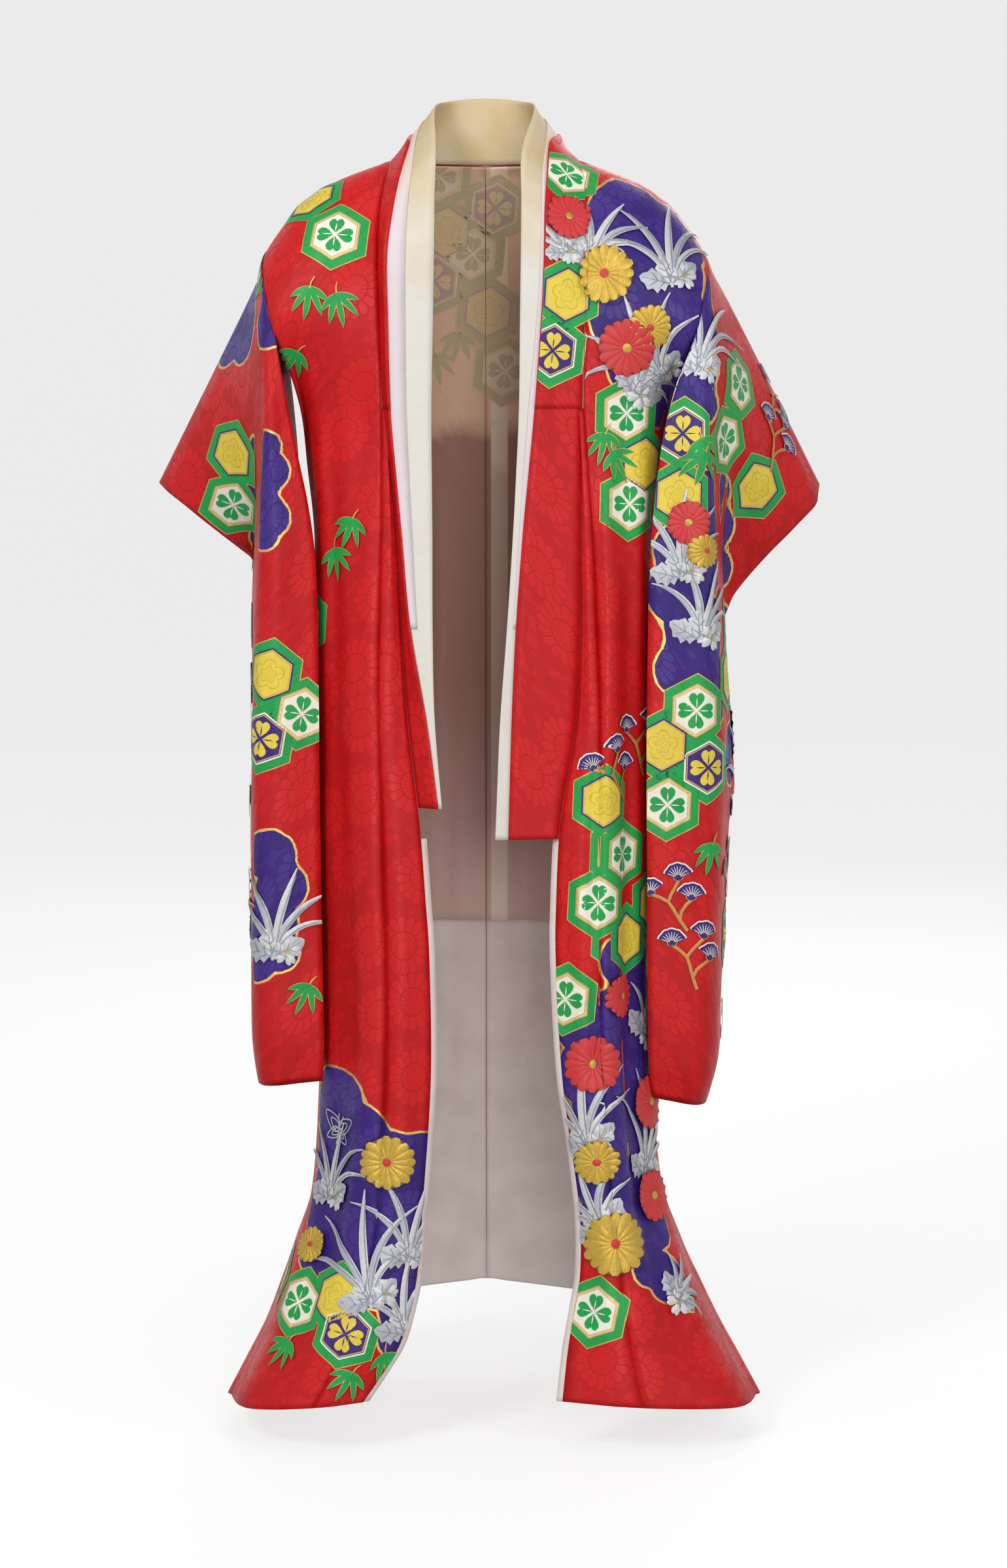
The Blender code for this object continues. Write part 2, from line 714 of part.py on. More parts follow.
def upper_lining(side, body):
    """Upper lining of the back, from the neck to the join."""
    across = NECK_COLUMNS + FRONT_COLUMNS
    count = len(BACK_CENTRE) + sum(1 for z in lower_heights() if z >= LINING_JOIN)
    parts = []
    for row in range(count):
        line = []
        for j in range(across):
            key = ("back", row, j)
            if row == 0 and j >= NECK_COLUMNS:
                key = ("shoulder", j - NECK_COLUMNS)
            line.append((body, key))
        parts.append(line)
    lining, keys = lining_sheet(f"lining_upper_{side}", side, parts)
    lining.mark_seam(keys[-1])
    return lining


def lower_lining(side, body, overlap):
    """Lower lining from the centre of the back round to the front edge."""
    heights = lower_heights()
    parts = []
    for i, z in enumerate(heights):
        if z > LINING_JOIN:
            continue
        row = len(BACK_CENTRE) + i
        line = [(body, ("back", row, j)) for j in range(NECK_COLUMNS + FRONT_COLUMNS + 1)]
        line += [(body, ("front", row, j)) for j in range(FRONT_COLUMNS - 1, 0, -1)]
        line += [(overlap, (i - OVERLAP_START, j)) for j in range(OVERLAP_COLUMNS, -1, -1)]
        parts.append(line)
    turned_from = NECK_COLUMNS + FRONT_COLUMNS
    lining, keys = lining_sheet(f"lining_lower_{side}", side, parts, turned_from)
    lining.mark_seam(keys[0])
    return lining


def sleeve_lining(side, sleeve):
    """Lining of the sleeve's back face, beside its open inner edge."""
    places = sleeve_places()
    columns = SLEEVE_SHARES.index(FOLD_SHARE) + 1
    rows = [i for i, place in enumerate(places) if SLEEVE_SEAM_ROW < place <= SLEEVE_LINING_END]
    parts = [[(sleeve, ("back", i, j)) for j in range(columns)] for i in rows]
    lining, _ = lining_sheet(f"sleeve_lining_{side}", side, parts)
    lining.seams.clear()
    return lining


def collar_stations():
    """Stations of the collars from the right lower end to the left lower end:
    the side, the height and the places of the seam and the free edges."""
    right = [("right", *station) for station in front_stations("right")]
    left = [("left", *station) for station in front_stations("left")]
    back = []
    for i, values in enumerate(COLLAR_BACK):
        row = dict(zip(COLLAR_BACK_NAMES, values))
        red = Vector((row["red_out"], row["red_y"], row["red_z"]))
        cream = Vector((row["cream_out"], row["cream_y"], row["cream_z"]))
        seam = neck_cut_point(i / NECK_COLUMNS, 0)
        back.append((0, seam, red, cream, row["accent_out"]))
    right_back = [("right", *station) for station in back[:0:-1]]
    left_back = [("left", *station) for station in back]
    return right[::-1] + right_back + left_back + left


def front_stations(side):
    """Collar stations from the shoulder down to the collar's end."""
    seams = [Vector(point) for point in NECK_FRONT[side]]
    for z in lower_heights():
        if z >= COLLAR_END[side]:
            seams.append(front_section(side, z)[3])
    stations = []
    for seam in seams:
        row = section_place(COLLAR_NAMES, COLLAR_FRONT[side], seam.z)
        red = Vector((row["red_out"], row["red_y"], seam.z + row["red_rise"]))
        cream = Vector((row["cream_out"], row["cream_y"], seam.z + row["cream_rise"]))
        stations.append((seam.z, seam, red, cream, row["accent_out"]))
    return stations


def accent_point(red, cream, out):
    """Free edge of the accent collar, between the red and the cream edges."""
    if red.x - cream.x < 1:
        return red.lerp(cream, 0.5)
    return red.lerp(cream, (red.x - out) / (red.x - cream.x))


def collar_base(stations):
    """Surface of all the collars, from just off the seam to the cream edge."""
    base = Sheet("collar_base", None)
    rows = []
    for i, (side, height, seam, red, cream, accent_out) in enumerate(stations):
        turn = (red - seam).normalized()
        root = seam + turn * COLLAR_SEAM_GAP
        if height < 0:
            root.x -= COLLAR_CORNER * abs(turn.y)
        line = [root] + [root.lerp(red, share) for share in COLLAR_CREASES]
        line += [red, accent_point(red, cream, accent_out), cream]
        for j, point in enumerate(line):
            base.add((i, j), Vector((point.x * SIDES[side], point.y, point.z)))
        rows.append([(i, j) for j in range(len(line))])
    base.grid(rows)
    shared_normals([base])
    return base


def collar_band(name, base, columns, rows, thickness):
    """One collar: the first columns of the collar surface over a run of rows."""
    band = Sheet(name, None, thickness)
    keys = [[(i, j) for j in range(columns)] for i in rows]
    for row in keys:
        for key in row:
            band.add(key, base.points[base.index[key]])
    band.grid(keys)
    band.normals = [base.normals[base.index[key]] for row in keys for key in row]
    band.bends = [max(base.bends[base.index[key]], LEAST_BEND) for row in keys for key in row]
    return band


def rows_above(stations, height):
    """Station numbers that lie at or above a height."""
    return [i for i, station in enumerate(stations) if station[1] >= height]


def main():
    """Build every piece."""
    clear_scene()
    kimono = bpy.data.collections.new("kimono")
    bpy.context.scene.collection.children.link(kimono)
    silk = material("silk_red", SILK_RED, 0.38)
    rose = material("lining_rose", LINING_ROSE, 0.6)
    pale = material("lining_pale", LINING_PALE, 0.5)
    cream = material("collar_cream", CREAM, 0.55)
    pink = material("collar_pink", PALE_PINK, 0.55)

    pieces = {side: (body_sheet(side), overlap_sheet(side), sleeve_sheet(side)) for side in SIDES}
    outer = [sheet for side in SIDES for sheet in pieces[side]]
    shared_normals(outer)
    lining_depth = (WALL + LINING_WALL) / 2 + LAYER_GAP
    for side, (body, overlap, sleeve) in pieces.items():
        linings = ((upper_lining(side, body), rose), (lower_lining(side, body, overlap), pale),
                   (sleeve_lining(side, sleeve), pale))
        for lining, finish in linings:
            draw_back_seams(lining)
            build_shell(lining, finish, kimono, -lining_depth)
    for sheet in outer:
        draw_back_seams(sheet)
        build_shell(sheet, silk, kimono)

    stations = collar_stations()
    base = collar_base(stations)
    everything = range(len(stations))
    collar = collar_band("collar", base, 4, everything, COLLAR_WALL)
    inner = collar_band("inner_collar", base, 6, everything, COLLAR_WALL)
    accent = collar_band("accent_collar", base, 5, rows_above(stations, ACCENT_END), LINING_WALL)
    over = collar_band("over_collar", base, 4, rows_above(stations, OVER_COLLAR_END), LINING_WALL)
    step = (COLLAR_WALL + LINING_WALL) / 2 + LAYER_GAP
    build_shell(over, silk, kimono, -step)
    build_shell(collar, silk, kimono)
    build_shell(accent, pink, kimono, step)
    build_shell(inner, cream, kimono, 2 * step)


main()
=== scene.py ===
"""Finished look of a long-sleeved formal kimono in its worn form.

Each panel, sleeve, collar and lining is a thin sheet on the form of its own
solid. Sizes are in millimetres until a mesh is made; the frame is in metres,
+Z up, -Y the front, +X the wearer's left.
"""
import math

import bmesh
import bpy
import numpy as np
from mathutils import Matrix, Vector


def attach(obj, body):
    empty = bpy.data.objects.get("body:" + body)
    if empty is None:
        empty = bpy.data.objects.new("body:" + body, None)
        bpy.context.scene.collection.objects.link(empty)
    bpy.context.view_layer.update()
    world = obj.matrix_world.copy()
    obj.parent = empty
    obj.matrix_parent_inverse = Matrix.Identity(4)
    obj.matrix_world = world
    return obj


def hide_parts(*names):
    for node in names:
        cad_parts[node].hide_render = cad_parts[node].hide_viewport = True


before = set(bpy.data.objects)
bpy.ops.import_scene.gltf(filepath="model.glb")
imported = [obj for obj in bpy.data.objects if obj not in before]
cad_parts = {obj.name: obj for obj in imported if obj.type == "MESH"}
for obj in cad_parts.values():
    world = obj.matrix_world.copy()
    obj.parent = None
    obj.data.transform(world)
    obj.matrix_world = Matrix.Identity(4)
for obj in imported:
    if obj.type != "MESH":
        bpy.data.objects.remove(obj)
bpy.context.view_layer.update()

MM = 0.001
SIDES = {"right": -1, "left": 1}

# Cloth thicknesses and the gaps between pieces
WALL = 1.6
LINING_WALL = 1.0
COLLAR_WALL = 1.8
LAYER_GAP = 0.35
COLLAR_SEAM_GAP = 0.9

# Heights of the main lines below the neck
SLIT_FOOT = -450
LINING_JOIN = -958
HEM = -1490
HEM_LIFT_START = -1250

# Columns of the grids, and the heights of the rows below the chest: each
# height with the number of rows from it to the next
NECK_COLUMNS = 4
FRONT_COLUMNS = 10
OVERLAP_COLUMNS = 3
ROW_HEIGHTS = ((-300, 2), (-450, 1), (-560, 1), (-670, 1), (-775, 1), (-812, 2), (-958, 1),
               (-1100, 1), (-1250, 1), (-1330, 2), (-1420, 2), (HEM, 0))

# Plan sections of the body below the chest: z, then out and y of each place.
# "edge" is the front edge, "seam" the overlap seam, "corner" the turn to the
# side, "side" the side seam; "slit" is half the opening under the arm.
BODY_NAMES = ("z", "edge_out", "edge_y", "seam_out", "seam_y",
              "corner_out", "corner_y", "side_out", "side_y", "slit")
BODY_SECTIONS = {
    "right": (
        (-300, 121, -112, 123, -112, 200, -84, 222, 2, 46),
        (-450, 106, -120, 123, -122, 194, -90, 208, 4, 0),
        (-650, 95, -128, 127, -136, 190, -94, 204, 6, 0),
        (-820, 76, -142, 122, -152, 189, -100, 202, 8, 0),
        (-1050, 64, -158, 118, -170, 187, -110, 199, 10, 0),
        (-1250, 75, -172, 128, -187, 198, -122, 211, 6, 0),
        (-1330, 81, -180, 140, -196, 222, -137, 236, -6, 0),
        (-1420, 102, -196, 168, -212, 254, -162, 272, -36, 0),
        (-1490, 146, -214, 206, -226, 288, -190, 316, -90, 0),
    ),
    "left": (
        (-300, 116, -112, 118, -112, 198, -84, 222, 2, 46),
        (-450, 115, -120, 129, -122, 191, -90, 207, 4, 0),
        (-650, 112, -128, 136, -136, 190, -94, 204, 6, 0),
        (-820, 88, -142, 136, -150, 188, -100, 202, 8, 0),
        (-1050, 88, -158, 138, -167, 187, -108, 201, 10, 0),
        (-1250, 113, -172, 152, -182, 204, -120, 216, 6, 0),
        (-1330, 115, -179, 162, -192, 230, -134, 243, -6, 0),
        (-1420, 101, -194, 174, -210, 268, -158, 290, -36, 0),
        (-1490, 93, -212, 190, -226, 304, -188, 337, -90, 0),
    ),
}

# Plan sections of the back: z, out and y of the back's turn, y of the centre
BACK_NAMES = ("z", "heel_out", "heel_y", "centre_y")
BACK_SECTIONS = (
    (-300, 150, 118, 130),
    (-450, 150, 128, 142),
    (-650, 148, 135, 147),
    (-820, 150, 141, 152),
    (-1050, 154, 150, 160),
    (-1250, 168, 164, 172),
    (-1330, 182, 172, 180),
    (-1420, 206, 180, 190),
    (-1490, 226, 186, 198),
)

# How far the hem lies above or below its level at each place of the section
HEM_DROP = {"edge": 6, "seam": 2, "corner": -8, "side": -16, "heel": 24, "centre": 52}

# How far the yoke and the back of the neck swell between their edges
YOKE_SWELL = 6
NECK_SWELL = (26, 22, 0)
BACK_SWELL = (0, 3, 0)

# Shoulder line from the neck to the sleeve seam: share of its length, out, y, z
SHOULDER_LINE = (
    (0.00, 112, 0, -5),
    (0.27, 156, 0, -20),
    (0.48, 194, 4, -36),
    (0.72, 228, 12, -61),
    (0.86, 245, 19, -84),
    (1.00, 260, 25, -110),
)

# Sleeve seam before and behind the arm, from the shoulder line down
SLEEVE_SEAM_FRONT = ((260, 25, -110), (266, -24, -118), (267, -60, -140),
                     (261, -86, -174), (250, -97, -214))
SLEEVE_SEAM_BACK = ((260, 25, -110), (266, 74, -118), (266, 107, -144),
                    (260, 124, -182), (250, 127, -224))

# Neck edge of the front panel, and of the back from the centre to the shoulder
NECK_FRONT = {
    "right": ((112, 0, -5), (120, -46, -32), (126, -78, -72), (127, -98, -122), (125, -106, -190)),
    "left": ((112, 0, -5), (118, -46, -32), (120, -78, -72), (120, -98, -122), (119, -106, -190)),
}
BACK_CENTRE = ((0, 74, -8), (0, 84, -26), (0, 95, -60), (0, 106, -112), (0, 118, -190))
BACK_NECK = ((112, 0, -5), (108, 48, -14), (100, 82, -44), (94, 102, -102), (92, 114, -186))

# Soft folds of the fronts: share of the width at the chest and at the hem,
# half width as a share, depth, top and bottom heights
FOLD_NAMES = ("at_top", "at_foot", "half", "depth", "top", "foot")
FRONT_FOLDS = {
    "right": (
        (0.20, 0.16, 0.14, -6, -420, -1500),
        (0.42, 0.34, 0.14, 7, -250, -1500),
        (0.72, 0.66, 0.14, -5, -420, -1400),
    ),
    "left": (
        (0.14, 0.12, 0.14, -5, -420, -1500),
        (0.36, 0.34, 0.14, 7, -500, -1500),
        (0.72, 0.66, 0.14, -5, -330, -1400),
    ),
}
BACK_FOLDS = (
    (0.20, 0.18, 0.14, 5, -260, -1450),
    (0.46, 0.44, 0.14, -5, -380, -1450),
    (0.74, 0.70, 0.14, 5, -300, -1450),
)
FOLD_FADE = 110
FOLD_ROUNDNESS = 1.6
FOLD_REACH = 1.6

# Sleeve rows down the cloth, each with three places as out, y and z: the inner
# edge, the fold line and the outer edge. The first row is the shoulder's, the
# last one the sleeve's foot.
SLEEVE_NAMES = ("inner", "fold", "outer")
SLEEVE_FRONT = {
    "right": (
        ((260, 25, -110), (300, 46, -193), (406, 92, -396)),
        ((266, -24, -118), (292, 6, -206), (384, 58, -412)),
        ((267, -60, -140), (285, -32, -226), (356, 44, -434)),
        ((261, -86, -174), (276, -66, -252), (326, 46, -458)),
        ((250, -97, -214), (268, -86, -284), (300, 62, -480)),
        ((232, -95, -316), (266, -96, -345), (284, 92, -506)),
        ((204, -96, -470), (272, -98, -480), (272, 118, -580)),
        ((200, -100, -680), (278, -99, -688), (268, 134, -720)),
        ((198, -104, -900), (281, -100, -905), (266, 140, -920)),
        ((195, -114, -1060), (281, -100, -1066), (264, 134, -1052)),
        ((197, -112, -1112), (276, -94, -1118), (250, 112, -1098)),
    ),
    "left": (
        ((260, 25, -110), (306, 46, -190), (415, 92, -398)),
        ((266, -24, -118), (300, 4, -204), (404, 56, -424)),
        ((267, -60, -140), (294, -34, -226), (378, 38, -452)),
        ((261, -86, -174), (286, -66, -254), (348, 34, -482)),
        ((250, -97, -214), (278, -84, -292), (316, 44, -520)),
        ((216, -104, -316), (272, -96, -372), (292, 70, -575)),
        ((198, -107, -470), (276, -98, -510), (296, 92, -660)),
        ((194, -112, -690), (284, -96, -716), (304, 104, -800)),
        ((196, -114, -910), (280, -96, -926), (294, 108, -950)),
        ((198, -114, -1080), (278, -92, -1092), (290, 98, -1080)),
        ((202, -106, -1134), (268, -82, -1146), (270, 74, -1130)),
    ),
}
SLEEVE_BACK = {
    "right": (
        ((260, 25, -110), (300, 46, -193), (406, 92, -396)),
        ((266, 74, -118), (300, 88, -206), (388, 122, -404)),
        ((266, 107, -144), (294, 118, -228), (360, 138, -424)),
        ((260, 124, -182), (284, 132, -256), (330, 142, -448)),
        ((250, 127, -224), (276, 136, -290), (304, 132, -474)),
        ((238, 112, -320), (266, 124, -350), (284, 92, -506)),
        ((226, 62, -472), (250, 70, -486), (272, 118, -580)),
        ((222, 4, -682), (250, 6, -690), (268, 134, -720)),
        ((220, -30, -902), (254, -26, -906), (266, 140, -920)),
        ((214, -58, -1062), (262, -56, -1066), (264, 134, -1052)),
        ((197, -112, -1112), (276, -94, -1118), (250, 112, -1098)),
    ),
    "left": (
        ((260, 25, -110), (306, 46, -190), (415, 92, -398)),
        ((266, 74, -118), (306, 90, -206), (408, 124, -414)),
        ((266, 107, -144), (300, 120, -230), (382, 140, -440)),
        ((260, 124, -182), (290, 134, -258), (352, 142, -470)),
        ((250, 127, -224), (280, 136, -298), (318, 128, -510)),
        ((242, 112, -320), (266, 124, -376), (292, 70, -575)),
        ((234, 62, -472), (254, 70, -512), (296, 92, -660)),
        ((232, 10, -692), (258, 18, -718), (304, 104, -800)),
        ((232, -22, -912), (260, -12, -928), (294, 108, -950)),
        ((228, -48, -1082), (264, -40, -1092), (290, 98, -1080)),
        ((202, -106, -1134), (268, -82, -1146), (270, 74, -1130)),
    ),
}

# Rows of the sleeve where its seam to the body and its lining end, the grid's
# columns as shares of the width, and its rows between table rows
SLEEVE_SEAM_ROW = 4
SLEEVE_LINING_END = 8
FOLD_SHARE = 0.27
SLEEVE_SHARES = (0.0, 0.08, 0.16, 0.22, FOLD_SHARE, 0.32, 0.40, 0.52, 0.66, 0.80, 0.91, 1.0)
SLEEVE_STEPS = (1, 1, 1, 1, 2, 3, 3, 3, 2, 1)

# Free edges of the collars round the back of the neck, in steps from the centre
# to the shoulder: the red edge, the cream edge and how far out the accent
# collar's edge lies
COLLAR_BACK_NAMES = ("red_out", "red_y", "red_z", "cream_out", "cream_y", "cream_z", "accent_out")
COLLAR_BACK = (
    (0, 85, 34, 0, 92, 74, 0),
    (43, 82, 33, 30, 88, 73, 36),
    (74, 66, 31, 50, 72, 71, 62),
    (90, 34, 27, 60, 44, 68, 75),
)

# The same down the fronts: height of the seam, then each edge with its rise
# above the seam
COLLAR_NAMES = ("z", "red_out", "red_y", "red_rise", "cream_out", "cream_y", "cream_rise",
                "accent_out")
COLLAR_FRONT = {
    "right": (
        (-5, 92, -6, 19, 64, 6, 61, 84),
        (-32, 102, -64, 6, 60, -66, 38, 88),
        (-72, 110, -98, 2, 60, -100, 16, 92),
        (-122, 116, -118, 0, 60, -118, 6, 94),
        (-190, 115, -126, 0, 61, -124, 2, 94),
        (-300, 112, -132, 0, 63, -130, 0, 93),
        (-450, 99, -140, 0, 62, -138, 0, 86),
        (-560, 89, -144, 0, 62, -144, 0, 80),
        (-670, 70, -148, 0, 60, -149, 0, 66),
        (-775, 56, -152, 0, 52, -153, 0, 54),
    ),
    "left": (
        (-5, 78, -8, 23, 62, 6, 61, 76),
        (-32, 74, -64, 10, 46, -66, 38, 70),
        (-72, 71, -98, 4, 44, -100, 16, 68),
        (-122, 70, -114, 2, 43, -116, 6, 66),
        (-190, 67, -122, 0, 42, -124, 2, 62),
        (-300, 59, -129, 0, 41, -132, 0, 52),
        (-450, 45, -137, 0, 34, -139, 0, 41),
        (-560, 37, -142, 0, 27, -144, 0, 34),
        (-670, 32, -147, 0, 19, -150, 0, 26),
        (-812, 28, -153, 0, 13, -156, 0, 20),
    ),
}
COLLAR_END = {"right": -775, "left": -812}
ACCENT_END = -560
OVER_COLLAR_END = -310
COLLAR_CORNER = 1.4
COLLAR_CREASES = (0.35, 0.7)

# Sizes of the finer grids, in mm between points
ROW_STEP = 9.0
COLUMN_STEP = 7.5

# Where the garment is looked at from, in metres, how far the camera looks down
# in degrees, its lens and sensor in mm, how far it sees in metres, and the
# depth in mm of the plane on which the front's places are measured
CAMERA_PLACE = (0.0222, -4.5, -0.2107)
CAMERA_TILT = 7.0
CAMERA_LENS = 84.4
SENSOR_HEIGHT = 36.0
CLIP_END = 60.0
VIEW_PLANE = -100.0


def by_view(**groups):
    """Rows of a table, each with the name of its view put first."""
    return tuple((view, *row) for view, rows in groups.items() for row in rows)


# Creases of the cloth. Each runs between two places of its view, as across and
# up, with its half width and its depth: above 0 stands proud.
CREASE_NAMES = ("view", "x0", "z0", "x1", "z1", "half", "depth")
BODY_CREASES = by_view(
    front=(
        (-206, -330, -214, -1020, 7, -3.5), (-192, -300, -200, -900, 8, 3.0),
        (-150, -250, -158, -1180, 9, -3.5), (-138, -380, -142, -1260, 8, 3.0),
        (-175, -560, -168, -1300, 11, 2.5), (-122, -700, -118, -1360, 8, -3.0),
        (-105, -900, -92, -1400, 9, 2.5), (-230, -1330, -190, -1180, 14, 5.0),
        (-270, -1450, -190, -1300, 18, 6.0), (-300, -1500, -170, -1400, 14, -5.0),
        (-250, -1480, -120, -1410, 12, 4.0), (-180, -60, -215, -200, 12, 3.0),
        (136, -330, 130, -1150, 8, -4.5), (148, -340, 143, -1200, 8, 3.5),
        (168, -300, 166, -1080, 9, -3.0), (186, -280, 188, -1000, 8, 3.0),
        (112, -780, 120, -1300, 9, 3.0), (155, -1180, 178, -1420, 12, -4.0),
        (205, -1320, 290, -1480, 18, 6.0), (180, -1340, 320, -1500, 12, -5.0),
        (140, -1380, 240, -1490, 14, 4.0), (235, -1240, 212, -1100, 12, 4.0),
        (150, -60, 190, -200, 14, 3.5), (195, -90, 225, -260, 10, -3.0),
    ),
    back=(
        (-60, -240, -66, -1100, 12, 3.0), (-105, -420, -112, -1300, 10, -3.0),
        (-150, -300, -160, -1200, 11, 3.0), (-30, -620, -36, -1350, 10, -2.5),
        (52, -260, 58, -1080, 12, 3.0), (96, -380, 104, -1280, 10, -3.0),
        (146, -320, 154, -1160, 11, 3.0), (26, -700, 30, -1400, 10, -2.5),
        (-190, -230, -90, -180, 14, -3.0), (185, -240, 95, -185, 14, -3.0),
        (-230, -1440, -150, -1250, 16, 5.0), (245, -1450, 160, -1260, 16, 5.0),
    ),
)
SLEEVE_CREASES = by_view(
    front=(
        (-262, -150, -330, -380, 12, 4.0), (-282, -150, -372, -372, 10, -3.0),
        (-256, -220, -300, -430, 10, -3.5), (-244, -420, -262, -640, 9, 3.0),
        (-262, -560, -256, -1040, 8, -2.5), (-232, -620, -230, -1100, 8, 2.5),
        (262, -150, 330, -400, 12, 4.5), (285, -150, 386, -380, 10, -3.5),
        (262, -230, 318, -470, 10, -3.5), (250, -420, 272, -640, 9, 4.0),
        (276, -440, 262, -560, 8, -4.0), (240, -600, 262, -1040, 10, 3.0),
        (262, -700, 246, -1080, 8, -3.0),
    ),
    right=(
        (-60, -330, -30, -1000, 14, 3.0), (-10, -420, 20, -1050, 12, -3.0),
        (60, -480, 70, -1010, 14, 3.0), (105, -560, 112, -980, 9, -2.5),
        (20, -230, 70, -430, 12, 4.0),
    ),
    left=(
        (-50, -340, -20, -1010, 14, 3.0), (5, -430, 30, -1060, 12, -3.0),
        (55, -520, 62, -1040, 12, 3.0), (20, -230, 70, -460, 12, 4.0),
    ),
    back=(
        (-300, -250, -350, -400, 12, 4.0), (300, -250, 360, -420, 12, 4.0),
    ),
)

# Cloud-edged fields of purple: view, middle and size of each lobe
LOBE_NAMES = ("view", "x", "z", "size")
BODY_LOBES = by_view(
    front=(
        (168, -78, 50), (222, -92, 52), (158, -132, 42), (205, -150, 55), (168, -192, 45),
        (222, -208, 52), (188, -248, 44), (232, -262, 40), (208, -292, 32), (-192, -1140, 44),
        (-168, -1192, 54), (-112, -1222, 44), (-76, -1214, 36), (-206, -1262, 52),
        (-150, -1280, 60), (-92, -1284, 52), (-186, -1330, 44), (-130, -1350, 52),
        (-86, -1352, 40), (-98, -1404, 34), (-112, -1440, 22), (176, -968, 38), (206, -1004, 40),
        (120, -1052, 34), (164, -1042, 46), (136, -1104, 50), (196, -1092, 50), (158, -1164, 54),
        (206, -1168, 48), (146, -1226, 48), (198, -1236, 52), (158, -1284, 44), (196, -1296, 38),
        (150, -1322, 26), (206, -1350, 26), (228, -1366, 28), (252, -1384, 20),
    ),
    back=(
        (-196, -96, 48), (-150, -128, 54), (-206, -160, 44), (-162, -196, 46), (-196, -246, 44),
        (-150, -262, 34), (120, -1010, 46), (168, -1040, 50), (130, -1090, 56), (76, -1110, 44),
        (176, -1120, 50), (110, -1170, 56), (60, -1186, 46), (168, -1200, 52), (120, -1250, 54),
        (70, -1256, 44), (176, -1268, 40), (104, -1310, 36), (-150, -1180, 44), (-176, -1220, 42),
        (-130, -1240, 50), (-90, -1280, 44), (-168, -1290, 50), (-130, -1330, 46),
        (-86, -1350, 34), (-196, -1352, 36),
    ),
)
SLEEVE_LOBES = by_view(
    front=(
        (236, -112, 34), (240, -158, 38), (238, -206, 40), (240, -254, 38), (248, -296, 30),
        (270, -396, 24), (264, -438, 34), (236, -470, 36), (266, -490, 30), (232, -520, 40),
        (258, -566, 44), (236, -612, 34), (280, -618, 26), (284, -660, 18), (-286, -148, 32),
        (-262, -196, 34), (-296, -196, 26), (-262, -346, 20), (-256, -374, 24), (-268, -402, 22),
        (-256, -430, 24), (-264, -452, 18), (-260, -838, 32), (-246, -876, 32), (-262, -920, 36),
        (-250, -956, 26), (-276, -972, 22),
    ),
    left=(
        (60, -640, 50), (10, -680, 54), (66, -720, 48), (24, -770, 50), (70, -800, 34),
        (-40, -720, 40),
    ),
    right=(
        (12, -172, 42), (34, -216, 38), (-14, -212, 38), (10, -840, 52), (60, -870, 50),
        (90, -930, 40), (20, -920, 54), (-40, -890, 44), (-70, -940, 36),
    ),
    back=(
        (-290, -250, 40), (-330, -300, 40), (292, -240, 44), (330, -300, 42),
    ),
)

# Tortoiseshell hexagons: view, middle, turn in degrees and what fills them
HEXAGON_NAMES = ("view", "x", "z", "turn", "fill")
HEXAGON_SIZE = 44.0
BODY_HEXAGONS = by_view(
    front=(
        (-203, -56, 8, "yellow"), (-177, -96, 8, "white"), (-204, -552, 4, "yellow"),
        (-250, -1352, 20, "yellow"), (-228, -1392, 22, "white"), (-184, -1386, 14, "yellow"),
        (-172, -1432, 16, "purple"), (96, -26, 6, "white"), (97, -166, 4, "yellow"),
        (80, -232, 6, "purple"), (168, -306, 2, "white"), (190, -366, 2, "yellow"),
        (172, -414, 2, "white"), (144, -772, 3, "yellow"), (164, -836, 3, "white"),
        (137, -896, 3, "white"), (196, -893, 3, "yellow"), (168, -940, 3, "yellow"),
        (98, -1014, 5, "white"), (134, -1404, 12, "white"),
    ),
    back=(
        (-60, -60, 4, "white"), (-96, -110, 4, "yellow"), (-52, -136, 4, "purple"),
        (84, -70, -6, "yellow"), (120, -118, -6, "white"), (160, -70, -6, "purple"),
        (150, -180, -6, "yellow"), (60, -940, 3, "white"), (100, -876, 3, "yellow"),
        (138, -942, 3, "purple"), (24, -1004, 3, "yellow"), (-150, -1010, -4, "white"),
        (-112, -1076, -4, "yellow"), (-190, -1074, -4, "purple"), (-150, -1140, -4, "white"),
        (20, -1330, 6, "white"), (58, -1396, 6, "yellow"),
    ),
)
SLEEVE_HEXAGONS = by_view(
    front=(
        (-300, -352, 14, "yellow"), (-300, -414, 14, "white"), (-260, -618, 10, "yellow"),
        (-221, -666, 10, "white"), (-270, -696, 10, "purple"), (-252, -106, 8, "white"),
        (302, -271, -12, "white"), (284, -338, -12, "white"), (325, -392, -14, "yellow"),
        (236, -330, 2, "purple"), (232, -404, 2, "yellow"), (254, -662, 2, "white"),
        (214, -704, 2, "yellow"), (268, -731, 2, "purple"), (220, -776, 2, "white"),
    ),
    left=(
        (-20, -560, 4, "white"), (-58, -626, 4, "yellow"), (20, -880, 4, "yellow"),
        (58, -946, 4, "white"), (-18, -946, 4, "purple"),
    ),
    right=(
        (-34, -128, -4, "white"), (-20, -560, -4, "yellow"), (56, -560, -4, "white"),
        (18, -626, -4, "purple"), (94, -626, -4, "yellow"), (56, -690, -4, "white"),
    ),
)

